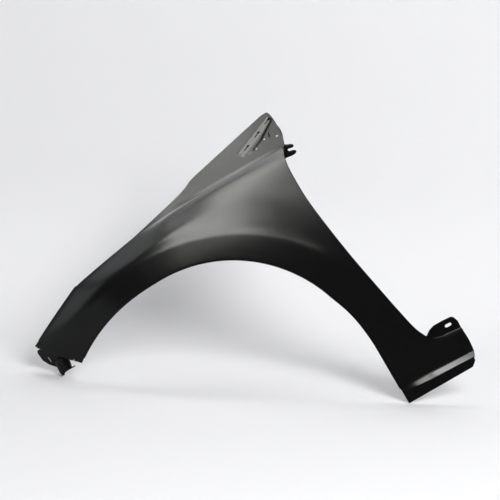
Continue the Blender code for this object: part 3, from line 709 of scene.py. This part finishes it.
# %% [markdown]
# ## Helpers for node trees
#
# The punches, the coats, the paper and the room are all node trees. `feed` sets the inputs of a
# node, each from a value or from another node's output, and `add_node` makes a node that is fed
# at once.

# %% Nodes in one line
def feed(tree, node, inputs):
    """Sets inputs by name or number, each from a value or from another node's output."""
    for key, value in inputs.items():
        if isinstance(value, bpy.types.NodeSocket):
            tree.links.new(value, node.inputs[key])
        else:
            node.inputs[key].default_value = value


def add_node(tree, kind, inputs=None, **settings):
    """Adds a node with its settings and inputs, and returns its outputs."""
    node = tree.nodes.new(kind)
    for name, value in settings.items():
        setattr(node, name, value)
    feed(tree, node, inputs or {})
    return node.outputs


def maths(tree, operation, *values):
    """One step of arithmetic."""
    return add_node(tree, "ShaderNodeMath", dict(enumerate(values)), operation=operation)[0]


def mix_shaders(tree, share, first, second):
    """A blend of two shaders, where a share of 1 shows only the second."""
    return add_node(tree, "ShaderNodeMixShader", {0: share, 1: first, 2: second})[0]


print("node helpers:", [helper.__name__ for helper in (feed, add_node, maths, mix_shaders)])

# %% [markdown]
# ## A set of punches made by nodes
#
# The press punches the same few shapes many times: round liner holes along the arch lip, bolt
# slots in the gutter, keyholes in the strip. One Geometry Nodes tree makes such a punch from a
# length, a width and a depth, and sets a copy at each point, turned by the point's own angles.

# %% The punch tree
PUNCH_INPUTS = (("Geometry", "Geometry", None), ("Length", "Float", 0.016), ("Width", "Float", 0.007),
                ("Depth", "Float", 0.008), ("Sides", "Int", 40), ("Material", "Material", None))


def punch_tree():
    """Geometry Nodes that put a round-ended prism on each point."""
    tree = bpy.data.node_groups.new("punches", "GeometryNodeTree")
    for name, kind, value in PUNCH_INPUTS:
        socket = tree.interface.new_socket(name, in_out="INPUT", socket_type="NodeSocket" + kind)
        if value is not None:
            socket.default_value = value
    tree.interface.new_socket("Geometry", in_out="OUTPUT", socket_type="NodeSocketGeometry")
    given = add_node(tree, "NodeGroupInput")

    prism = add_node(tree, "GeometryNodeMeshCylinder", {
        "Vertices": given["Sides"], "Radius": maths(tree, "MULTIPLY", given["Width"], 0.5),
        "Depth": given["Depth"]})
    axes = add_node(tree, "ShaderNodeSeparateXYZ", {0: add_node(tree, "GeometryNodeInputPosition")[0]})
    spare = maths(tree, "SUBTRACT", given["Length"], given["Width"])
    side = maths(tree, "SIGN", axes["X"])
    shift = maths(tree, "MULTIPLY", side, maths(tree, "MULTIPLY", spare, 0.5))
    offset = add_node(tree, "ShaderNodeCombineXYZ", {"X": shift})[0]
    stretch = add_node(tree, "GeometryNodeSetPosition", {"Geometry": prism["Mesh"], "Offset": offset})

    turn = add_node(tree, "GeometryNodeInputNamedAttribute", {"Name": "turn"}, data_type="FLOAT_VECTOR")
    rotation = add_node(tree, "FunctionNodeEulerToRotation", {0: turn["Attribute"]})[0]
    copies = add_node(tree, "GeometryNodeInstanceOnPoints", {
        "Points": given["Geometry"], "Instance": stretch["Geometry"], "Rotation": rotation})[0]
    real = add_node(tree, "GeometryNodeRealizeInstances", {0: copies})[0]
    paint = add_node(tree, "GeometryNodeSetMaterial", {"Geometry": real, "Material": given["Material"]})
    add_node(tree, "NodeGroupOutput", {0: paint[0]})
    return tree


PUNCHES = punch_tree()
print("punch tree:", len(PUNCHES.nodes), "nodes")

# %% [markdown]
# The tree's inputs are set by each socket's identifier, before the object is first evaluated.
# Each point carries the angles that lay the punch across the sheet: its Z along the hole's axis
# and its X along the slot.

# %% Set punches on points
def facing(axis, along):
    """Rotation that lays Z on an axis and X along a direction."""
    z = Vector(axis).normalized()
    x = Vector(along)
    x = (x - z * x.dot(z)).normalized()
    return Matrix((x, z.cross(x), z)).transposed()


def punches(name, places, length, width, depth=8 * MM):
    """A mesh of punches; places lists a centre, an axis and a direction for each."""
    mesh = bpy.data.meshes.new(name)
    mesh.from_pydata([tuple(place) for place, axis, along in places], [], [])
    turn = mesh.attributes.new("turn", "FLOAT_VECTOR", "POINT")
    for index, (place, axis, along) in enumerate(places):
        turn.data[index].vector = facing(axis, along).to_euler()
    item = add_object(name, mesh)
    nodes = item.modifiers.new("nodes", "NODES")
    nodes.node_group = PUNCHES
    sizes = {"Length": length, "Width": width, "Depth": depth}
    for socket in PUNCHES.interface.items_tree:
        if socket.in_out == "INPUT" and socket.name in sizes:
            nodes[socket.identifier] = sizes[socket.name]
    return apply_modifiers(item)


def combine(item, tools, operation="DIFFERENCE"):
    """Joins each tool to a piece or cuts it out by an exact Boolean, and removes the tools."""
    for tool in tools:
        add_modifier(item, "BOOLEAN", operation=operation, solver="EXACT", object=tool)
    apply_modifiers(item)
    for tool in tools:
        bpy.data.objects.remove(tool)


print("a punch turned to face inboard:", [round(a, 2) for a in facing(INBOARD, (1, 0, 0)).to_euler()])

# %% [markdown]
# ## Holes and slots of the panel
#
# The liner is clipped through round holes in the arch lip. The gutter pads and the sill tab have
# slots, so that the panel can be shifted to even its gaps before the bolts are tightened. The
# keyholes of the strip are a slit with a round head, and their rims are turned in as a collar. So
# each one gets its collar joined on first, and is then punched through. The short slot beside
# them is a blind pocket.

# %% Punch the panel
LINER_HOLE = 3.5 * MM
LINER_INSET = 11 * MM
LINER_ANGLES = [130, 108, 84, 60, 36, 12, -10]
PAD_SLOT = (14 * MM, 8 * MM)
TAB_SLOT_PLACE = Vector((516 * MM, TAB_DEPTH, -77 * MM))
TAB_SLOT = (16 * MM, 7 * MM)
KEYHOLES = in_mm((294.5, 494.5), (330.5, 510), (365, 525.5))
KEYHOLE_SLIT = (16 * MM, 3.0 * MM)
KEYHOLE_BORE = 7.0 * MM
COLLAR_WALL = 0.9 * MM
COLLAR_DEPTH = 6.4 * MM
COLLAR_SUNK = 0.45 * MM
TOP_HOLES = in_mm((371.5, 488), (342, 494.5), (315.5, 484))
TOP_HOLE_SIZES = [6.0 * MM, 4.4 * MM, 4.6 * MM]
TOP_LENS = (356 * MM, 497.5 * MM)
TOP_LENS_SLOT = (17 * MM, 3.0 * MM)
TOP_LENS_ALONG = (0.30, TOP_LEAN, 1.0)
LENS_POCKET = 4.6 * MM
FRONT_NOTCH_X = -290.5 * MM
FRONT_NOTCH = 6.4 * MM
NOTCH_PUNCH = 16 * MM
STRIP_PUNCH = 18 * MM


def liner_places():
    """Centre, axis and direction of each liner hole, from the arch lip beside it."""
    places = []
    for angle in LINER_ANGLES:
        turn = math.radians(angle)
        spoke = Vector((math.cos(turn), 0.0, math.sin(turn)))
        middle = arch_place(angle)
        rim = min((s[0] for s in arch_flange), key=lambda p: (Vector((p.x, p.z)) - middle).length)
        places.append((rim + INBOARD * LINER_INSET - spoke * FOLD, spoke, INBOARD))
    return places


def front_line(x, out=0.0):
    """Height of the skin's front edge at x, moved out below it."""
    (xa, za), (xb, zb) = FRONT_TIP, arch_place(TIP_ANGLE)
    slope = (zb - za) / (xb - xa)
    return za + slope * (x - xa) - out * math.sqrt(1 + slope * slope)


def front_place(x):
    """A place on the skin's front edge."""
    return Vector((x, crown(x, front_line(x)), front_line(x)))


strip_along = (top_place(*KEYHOLES[-1]) - top_place(*KEYHOLES[0])).normalized()
key_heads = [(x + strip_along.x * 0.5 * KEYHOLE_SLIT[0], z + strip_along.z * 0.5 * KEYHOLE_SLIT[0])
             for x, z in KEYHOLES]


def sunk(places, depth):
    """The same places on the face above the shoulder, sunk into it by a depth."""
    return [top_place(*p) - TOP_OUTWARD * depth for p in places]


collars = [("slit_collar", KEYHOLES, *KEYHOLE_SLIT, strip_along),
           ("bore_collar", key_heads, KEYHOLE_BORE, KEYHOLE_BORE, strip_along),
           ("lens_collar", [TOP_LENS], *TOP_LENS_SLOT, TOP_LENS_ALONG)]
for name, places, length, width, along in collars:
    middles = sunk(places, COLLAR_SUNK + 0.5 * COLLAR_DEPTH)
    collar = punches(name, [(p, TOP_OUTWARD, along) for p in middles], length + 2 * COLLAR_WALL,
                     width + 2 * COLLAR_WALL, COLLAR_DEPTH)
    combine(panel, [collar], "UNION")
tools = [punches("liner_punch", liner_places(), 2 * LINER_HOLE, 2 * LINER_HOLE),
         punches("pad_punch", [(c, (-s, 0, 1), (1, 0, s)) for c, s in pads], *PAD_SLOT),
         punches("tab_punch", [(TAB_SLOT_PLACE, INBOARD, (1, 0, 0))], *TAB_SLOT)]
for name, places, length, width, along in collars:
    deep = 2 * (COLLAR_SUNK + LENS_POCKET) if name == "lens_collar" else STRIP_PUNCH
    tools.append(punches(name.replace("collar", "punch"),
                         [(p, TOP_OUTWARD, along) for p in sunk(places, 0.0)], length, width, deep))
tools.append(punches("notch_punch", [(front_place(FRONT_NOTCH_X), INBOARD, (1, 0, 0))],
                     FRONT_NOTCH, FRONT_NOTCH, NOTCH_PUNCH))
for n, (hole, size) in enumerate(zip(TOP_HOLES, TOP_HOLE_SIZES), 1):
    tools.append(punches(f"hole_punch_{n}", [(top_place(*hole), TOP_OUTWARD, strip_along)], size, size))
combine(panel, tools)
print("punched panel:", len(panel.data.polygons), "faces")

# %% [markdown]
# ## The bumper bracket
#
# Under the nose hangs a small folded bracket, 1.6 mm thick, with a pressed rib, a foot and a
# slit. Its plate is laid as a grid with the rib raised in it, trimmed to its outline, and joined
# to its weld lip and foot.

# %% Bumper bracket plate
BRACKET_SHEET = 1.6 * MM
WELD_GAP = 0.3 * MM
BRACKET_SPAN = (-349 * MM, -303 * MM)
BRACKET_ENDS = (-375 * MM, -294 * MM)
BRACKET_HEIGHTS = (216 * MM, 312 * MM)
BRACKET_TRIM = (60 * MM, 220 * MM)
BRACKET_ROWS = 60
BRACKET_LIP = (-346 * MM, -306 * MM)
BRACKET_LIP_SETBACK = 5 * MM
BRACKET_OUTLINE = in_mm((-350.5, 299), (-363, 303), (-368, 299.5), (-368.8, 293), (-366, 274),
                        (-356, 259.5), (-341.5, 247), (-342, 231), (-340, 226), (-331, 223.5),
                        (-327, 229), (-306, 233), (-303, 247))
NOSE = in_mm((-15, 0), (-10, 11), (-3, 15), (4, 15), (10, 10), (15, 0))
NOSE_START = 6 * MM
PLATE_FOLD = 3 * MM
NOSE_X = -322 * MM
NOSE_TOP = 272 * MM
NOSE_RAMP = 14 * MM


def bracket_depth(x):
    """Depth of the bracket's plate: it runs along the end of the front flange."""
    near, far = BRACKET_SPAN
    start, end = front_place(near).y, front_place(far).y
    return start + (end - start) * (x - near) / (far - near) + FRONT_FLANGE + WELD_GAP


near, far = BRACKET_SPAN
bracket_out = Vector(((bracket_depth(far) - bracket_depth(near)) / (far - near), -1.0, 0.0)).normalized()
plan = [Vector((BRACKET_ENDS[0], 0.0)), Vector((NOSE_X + NOSE[0][0] - NOSE_START, 0.0))]
plan += [Vector((NOSE_X + x, height)) for x, height in NOSE]
plan = rounded(plan + [Vector((BRACKET_ENDS[1], 0.0))], PLATE_FOLD, 4)
grid = []
for x, height in plan:
    line = []
    for row in range(BRACKET_ROWS + 1):
        z = between(BRACKET_HEIGHTS, row / BRACKET_ROWS)
        raised = bracket_out * height * ease(z, NOSE_TOP, NOSE_TOP - NOSE_RAMP)
        line.append(Vector((x, bracket_depth(x), z)) + raised)
    grid.append(line)
bracket = give_thickness(add_object("bumper_bracket", sew("bumper_bracket", [grid])), BRACKET_SHEET)
print("bracket plate:", len(bracket.data.polygons), "faces")

# %% [markdown]
# An outline cut from sheet has small radii at its corners. The prism that trims the plate takes
# them from `rounded`, and so do the foot and the fork later.

# %% Trim and join the bracket
FOOT = (-336 * MM, -300 * MM)
FOOT_Z = 230.5 * MM
FOOT_OUT = 8 * MM
FOOT_BACK = 6 * MM
SLIT_PLACE = (-349.3 * MM, 270.6 * MM)
SLIT_LEAN = 0.26
SLIT = (14 * MM, 3 * MM)


def prism(name, outline, low, high, axis="Y", radius=1.5 * MM):
    """A closed outline with rounded corners, extruded along an axis."""
    loop = [Vector(p) for p in outline]
    loop = rounded([loop[-1]] + loop + [loop[0]], radius)[1:-1]
    bm = bmesh.new()
    ends = []
    for depth in (low, high):
        places = [(u, depth, v) if axis == "Y" else (u, v, depth) for u, v in loop]
        ends.append([bm.verts.new(p) for p in places])
    for verts in ends:
        bm.faces.new(verts)
    for i in range(len(loop)):
        bm.faces.new((ends[0][i - 1], ends[0][i], ends[1][i], ends[1][i - 1]))
    bmesh.ops.recalc_face_normals(bm, faces=bm.faces)
    return add_object(name, to_mesh(bm, name))


under = FOLD + WELD_GAP + 0.5 * BRACKET_SHEET
trim_line = BRACKET_OUTLINE + [(x, front_line(x, under)) for x in (far, near)]
combine(bracket, [prism("bracket_trim", trim_line, *BRACKET_TRIM)], "INTERSECT")
lip = []
for x in BRACKET_LIP:
    start = front_place(x).y + BRACKET_LIP_SETBACK
    lip.append([Vector((x, y, front_line(x, FOLD + WELD_GAP)))
                for y in (start, bracket_depth(x) + 0.5 * BRACKET_SHEET)])
lip_mesh = sew("bracket_lip", [lip])
if lip_mesh.polygons[0].normal.z < 0:
    lip_mesh.flip_normals()
combine(bracket, [give_thickness(add_object("bracket_lip", lip_mesh), BRACKET_SHEET)], "UNION")
middle = bracket_depth(0.5 * sum(FOOT))
foot_line = [(x, middle + y) for x, y in ((FOOT[0], -FOOT_OUT), (FOOT[1], -FOOT_OUT),
                                          (FOOT[1], FOOT_BACK), (FOOT[0], FOOT_BACK))]
foot = prism("bracket_foot", foot_line, FOOT_Z, FOOT_Z + BRACKET_SHEET, axis="Z")
combine(bracket, [foot], "UNION")
slit = Vector((SLIT_PLACE[0], bracket_depth(SLIT_PLACE[0]), SLIT_PLACE[1]))
combine(bracket, [punches("slit", [(slit, bracket_out, (SLIT_LEAN, 0, -1))], *SLIT)])
print("bumper bracket:", len(bracket.data.polygons), "faces")

# %% [markdown]
# ## The fork bracket
#
# Behind the door edge a 3 mm plate ends in two prongs that slide over a stud on the pillar. Its
# leg runs along the door flange, where it is welded.

# %% Fork bracket
FORK_SHEET = 3 * MM
FORK_OUTLINE = in_mm((366, 465.5), (375, 466), (381, 461), (389.5, 458), (394.5, 454.5),
                     (395.3, 450.5), (391.5, 448), (382.5, 450), (379, 449.8), (377.8, 447.1),
                     (380, 444.5), (389.5, 442.8), (394.5, 439.5), (394.5, 435.5), (390, 432.7),
                     (383, 431.8), (364, 434))
FORK_LEG = (434 * MM, 458 * MM)
FORK_LEG_LENGTH = 18 * MM
FORK_GAP = 0.4 * MM


def fork_leg():
    """The leg that follows the end of the door flange."""
    fold = sorted((section[-1].z, section[-1].x) for section in door_flange)
    low, high = FORK_LEG
    heights = [low] + [z for z, x in fold if low < z < high] + [high]
    sides = [(height_on(fold, z) + FORK_GAP, z) for z in heights]
    outline = sides + [(x + FORK_SHEET, z) for x, z in reversed(sides)]
    return prism("fork_leg", outline, fork_depth - FORK_LEG_LENGTH, fork_depth + 0.5 * FORK_SHEET,
                 radius=0.2 * MM)


fork_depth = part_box("pillar_fork_bracket")[1][1] + SEAT.y - FORK_SHEET
fork = prism("fork_bracket", FORK_OUTLINE, fork_depth, fork_depth + FORK_SHEET, radius=2 * MM)
combine(fork, [fork_leg()], "UNION")
print("fork bracket:", len(fork.data.polygons), "faces, plate at", round(fork_depth / MM, 2), "mm")

# %% [markdown]
# ## Soft edges and smooth shading
#
# Punched sheet keeps crisp edges, while its folds are smooth. Shading is smooth everywhere, and
# an angle limit keeps the cut edges sharp. The thick fork also gets a fine bevel, which catches
# the light along its edges.

# %% Bevel and shade
EDGE_ANGLE = math.radians(38)
FORK_BEVEL = 0.6 * MM


def smooth_shade(item):
    """Smooth shading with sharp cut edges."""
    for polygon in item.data.polygons:
        polygon.use_smooth = True
    item.data.set_sharp_from_angle(angle=EDGE_ANGLE)


add_modifier(fork, "BEVEL", width=FORK_BEVEL, segments=2, limit_method="ANGLE", angle_limit=EDGE_ANGLE)
apply_modifiers(fork)
pieces = (panel, bracket, fork)
for piece in pieces:
    smooth_shade(piece)
    piece.data.transform(Matrix.Translation(-SEAT))
print("triangles:", {p.name: sum(len(f.vertices) - 2 for f in p.data.polygons) for p in pieces})

# %% [markdown]
# ## The coats
#
# The panel has a dipped primer: satin black, a little grey-green in the light, with the faint
# ripple of a dipped coat and small changes of gloss. The brackets are dipped with it, and their
# ripple is stronger. The patterns read Object coordinates, so they stay in place on the steel.

# %% Satin coat
GLOSS_WANDER = 0.025
RIPPLE_HEIGHT = 0.008 * MM
COLOUR_CLOUDS, GLOSS_CLOUDS, RIPPLE_GRAIN = (7.0, 3.0), (26.0, 4.0), (190.0, 2.0)


def noise(tree, scale, detail):
    """A noise on the object's own coordinates."""
    places = add_node(tree, "ShaderNodeTexCoord")["Object"]
    clouds = add_node(tree, "ShaderNodeTexNoise", {"Vector": places, "Scale": scale, "Detail": detail})
    return clouds["Fac"]


def satin_coat(name, colour, tint, gloss, ripple):
    """Satin black with a fine ripple, and gloss and colour that wander a little."""
    material = bpy.data.materials.new(name)
    material.use_nodes = True
    tree = material.node_tree
    shade = add_node(tree, "ShaderNodeMix", {0: noise(tree, *COLOUR_CLOUDS), 6: (*colour, 1.0),
                                             7: (*tint, 1.0)}, data_type="RGBA")[2]
    rough = add_node(tree, "ShaderNodeMapRange", {
        "Value": noise(tree, *GLOSS_CLOUDS), "To Min": gloss - GLOSS_WANDER,
        "To Max": gloss + GLOSS_WANDER})["Result"]
    bump = add_node(tree, "ShaderNodeBump", {
        "Height": noise(tree, *RIPPLE_GRAIN), "Strength": ripple, "Distance": RIPPLE_HEIGHT})["Normal"]
    feed(tree, tree.nodes["Principled BSDF"], {
        "Base Color": shade, "Metallic": 0.0, "Roughness": rough, "Specular IOR Level": 0.5,
        "Normal": bump})
    return material


primer = satin_coat("satin_primer", (0.0030, 0.0034, 0.0031), (0.0045, 0.0050, 0.0046), 0.23, 0.12)
bracket_black = satin_coat("bracket_coat", (0.003, 0.003, 0.003), (0.0045, 0.0045, 0.0045), 0.25, 0.25)
print("coats:", primer.name, bracket_black.name)

# %% [markdown]
# ## Put the pieces on the frame
#
# Each new piece stands for its node of the imported model, takes its coat and rides on the one
# body.

# %% Replace the nodes
for piece, node, coat, slot in ((panel, "fender_panel", primer, "satin_primer"),
                                (bracket, "front_bumper_bracket", bracket_black, "bracket_coat"),
                                (fork, "pillar_fork_bracket", bracket_black, "bracket_coat")):
    piece.data.materials.clear()
    piece.data.materials.append(coat)
    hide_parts(node)
    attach(piece, "root")
    print(piece.name, "stands for", node)

# %% [markdown]
# ## A white sweep
#
# The fender stands on a white paper sweep: a floor that curves up into a wall close behind it.
# The floor passes through the two places that carry the weight, the bracket foot and the sill
# corner. It shows only from its front, so it never hides the part from below or behind.

# %% Floor and backdrop
FLOOR_DIP = math.radians(12)
FLOOR_FRONT = 1.2
FLOOR_BACK = 0.42
COVE = 0.35
COVE_STEPS = 16
WALL = 4.0
HALF_WIDTH = 4.0
FLOOR_DROP = 0.3 * MM
LEVEL_ROUNDS = 6


def floor_axes():
    """Across, up and back of the floor, level through both resting places, and its height."""
    up = (UP * math.cos(FLOOR_DIP) - FORWARD * math.sin(FLOOR_DIP)).normalized()
    vertices = [v.co + SEAT for piece in (panel, bracket) for v in piece.data.vertices]
    for _ in range(LEVEL_ROUNDS):
        left = min((v for v in vertices if v.x < 0), key=lambda v: v.dot(up))
        right = min((v for v in vertices if v.x > 0), key=lambda v: v.dot(up))
        span = right - left
        up = (up - span * (span.dot(up) / span.length_squared)).normalized()
    back = (FORWARD - up * FORWARD.dot(up)).normalized()
    return back.cross(up), up, back, 0.5 * (left + right)


across, floor_up, back, rest = floor_axes()
profile = [(-FLOOR_FRONT, 0.0), (0.0, 0.0), (FLOOR_BACK, 0.0)]
for step in range(1, COVE_STEPS + 1):
    turn = math.radians(90 * step / COVE_STEPS)
    profile.append((FLOOR_BACK + COVE * math.sin(turn), COVE * (1 - math.cos(turn))))
profile.append((FLOOR_BACK + COVE, WALL))
sweep_lines = [[rest - SEAT + across * side + back * b + floor_up * (h - FLOOR_DROP) for b, h in profile]
               for side in (-HALF_WIDTH, 0.0, HALF_WIDTH)]
sweep_mesh = sew("sweep", [sweep_lines])
if sweep_mesh.polygons[0].normal.dot(floor_up) < 0:
    sweep_mesh.flip_normals()
sweep = add_object("sweep", sweep_mesh)
for polygon in sweep_mesh.polygons:
    polygon.use_smooth = True
print("floor leans", round(math.degrees(math.acos(floor_up.z)), 1), "degrees from the car's up")

# %% [markdown]
# The camera sees white paper. A reflection sees it nearly black, a painted shade as if dark flags
# stood round the fender, because a white floor would wash out the flank and the leg. Towards the
# nose this painted reflection turns to grey, which keeps the nose from going black.

# %% Paper of the sweep
PAINTED_REFLECTION_SPAN = (-1.0, -0.4)
PAINTED_REFLECTION_TONES = (0.30, 0.04)
paper = bpy.data.materials.new("paper")
paper.use_nodes = True
tree = paper.node_tree
white = tree.nodes["Principled BSDF"]
feed(tree, white, {"Base Color": (0.88, 0.88, 0.89, 1.0), "Roughness": 0.9, "Specular IOR Level": 0.0})
paper_axes = add_node(tree, "ShaderNodeSeparateXYZ", {0: add_node(tree, "ShaderNodeTexCoord")["Object"]})
tone = add_node(tree, "ShaderNodeMapRange", {
    "Value": paper_axes["X"], "From Min": PAINTED_REFLECTION_SPAN[0], "From Max": PAINTED_REFLECTION_SPAN[1],
    "To Min": PAINTED_REFLECTION_TONES[0], "To Max": PAINTED_REFLECTION_TONES[1]})["Result"]
# Painted reflection: reflected rays see this tone instead of the white paper. It is grey towards the nose
# and nearly black elsewhere.
painted_reflection = add_node(tree, "ShaderNodeBsdfDiffuse", {"Color": tone})[0]
reflected = add_node(tree, "ShaderNodeLightPath")["Is Glossy Ray"]
faced = mix_shaders(tree, reflected, white.outputs[0], painted_reflection)
clear = add_node(tree, "ShaderNodeBsdfTransparent")[0]
front_only = mix_shaders(tree, add_node(tree, "ShaderNodeNewGeometry")["Backfacing"], faced, clear)
feed(tree, tree.nodes["Material Output"], {"Surface": front_only})
sweep_mesh.materials.append(paper)
print("paper has", len(tree.nodes), "nodes")

# %% [markdown]
# ## The light
#
# A black panel is drawn by what it reflects. Two key boxes stand in front of it, one above the
# other, and give the broad highlight on the flank, which ends where they end. Each other card
# has one job: the fade beside the highlight, the glow over the crease, the face above the
# shoulder, the line along its edge, the seat strip, the sill ledge and the grey of the nose. All
# of them are seen only in reflections. Two fills light the paper and aren't reflected at all.

# %% Soft boxes
CENTRE = EYE + FORWARD * VIEW_DISTANCE


def soft_box(name, left, high, distance, size, radiance, colour=(1.0, 1.0, 1.0)):
    """An area lamp aimed at the fender, placed by its angles left of and above the lens."""
    left, high = math.radians(left), math.radians(high)
    way = math.cos(high) * (-math.cos(left) * FORWARD - math.sin(left) * RIGHT) + math.sin(high) * UP
    lamp = bpy.data.lights.new(name, "AREA")
    lamp.shape = "RECTANGLE"
    lamp.size, lamp.size_y = size
    lamp.energy = radiance * math.pi * size[0] * size[1]
    lamp.color = colour
    item = add_object(name, lamp)
    side = UP.cross(way).normalized()
    turn = Matrix((side, way.cross(side), way)).transposed().to_4x4()
    item.matrix_world = Matrix.Translation(CENTRE - SEAT + way * distance) @ turn
    return item


WARM = (0.99, 1.0, 0.95)
SLATE = (0.92, 0.98, 1.0)
BOXES = [("key_low", 17, 16.5, 2.4, (0.62, 0.93), 8.4, WARM),
         ("key_high", 24, 34.5, 2.4, (0.80, 0.60), 8.8, WARM),
         ("fade_box", 0, 30, 2.4, (0.5, 1.2), 0.5, WARM),
         ("crease_card", -2, 11, 2.4, (0.5, 0.25), 2.0, WARM),
         ("upper_box", 27, 53, 2.4, (1.5, 0.5), 4.7),
         ("ledge_card", 12, 53.5, 2.07, (0.7, 0.45), 10.5),
         ("line_card", 58, 61, 2.4, (0.9, 0.5), 3.6),
         ("rim_card", 78, 50, 2.4, (0.8, 0.45), 8.0),
         ("left_card", 92, 62, 2.4, (1.0, 0.9), 2.6, WARM),
         ("strip_card", 119, 59, 1.62, (0.30, 0.30), 7.0, WARM),
         ("side_card", 67, 30, 2.4, (1.6, 0.9), 1.35, SLATE),
         ("low_card", 78, 2, 2.4, (1.0, 1.1), 0.85, SLATE)]
boxes = [soft_box(*row) for row in BOXES]
for box in boxes:
    box.visible_diffuse = False
fills = [soft_box("front_fill", -18, 20, 4.2, (1.6, 1.6), 18.0),
         soft_box("top_fill", 0, 91, 3.2, (2.4, 1.2), 3.8)]
for fill in fills:
    fill.visible_glossy = False
print("soft boxes:", [box.name for box in boxes + fills])

# %% [markdown]
# The room has three faces. For matt things it is a weak, even light. The camera sees it pale.
# A reflection sees it dark in front of the fender, and pale behind it.

# %% World
ROOM = (0.95, 0.96, 1.0, 1.0)
ROOM_STRENGTH = 0.21
PALE = (0.86, 0.86, 0.87, 1.0)
DARK = (0.02, 0.02, 0.02, 1.0)
world = bpy.data.worlds.new("studio")
bpy.context.scene.world = world
world.use_nodes = True
tree = world.node_tree
room = tree.nodes["Background"]
feed(tree, room, {"Color": ROOM, "Strength": ROOM_STRENGTH})
pale = add_node(tree, "ShaderNodeBackground", {"Color": PALE})[0]
dark = add_node(tree, "ShaderNodeBackground", {"Color": DARK})[0]
ways = add_node(tree, "ShaderNodeSeparateXYZ", {0: add_node(tree, "ShaderNodeTexCoord")["Generated"]})
behind = add_node(tree, "ShaderNodeMapRange", {"Value": ways["Y"], "From Min": 0.0, "From Max": 0.5})
glossy = mix_shaders(tree, behind["Result"], dark, pale)
rays = add_node(tree, "ShaderNodeLightPath")
hit = mix_shaders(tree, rays["Is Glossy Ray"], room.outputs[0], glossy)
direct = maths(tree, "MAXIMUM", rays["Is Camera Ray"], rays["Is Transmission Ray"])
feed(tree, tree.nodes["World Output"], {"Surface": mix_shaders(tree, direct, hit, pale)})
print("world has", len(tree.nodes), "nodes")
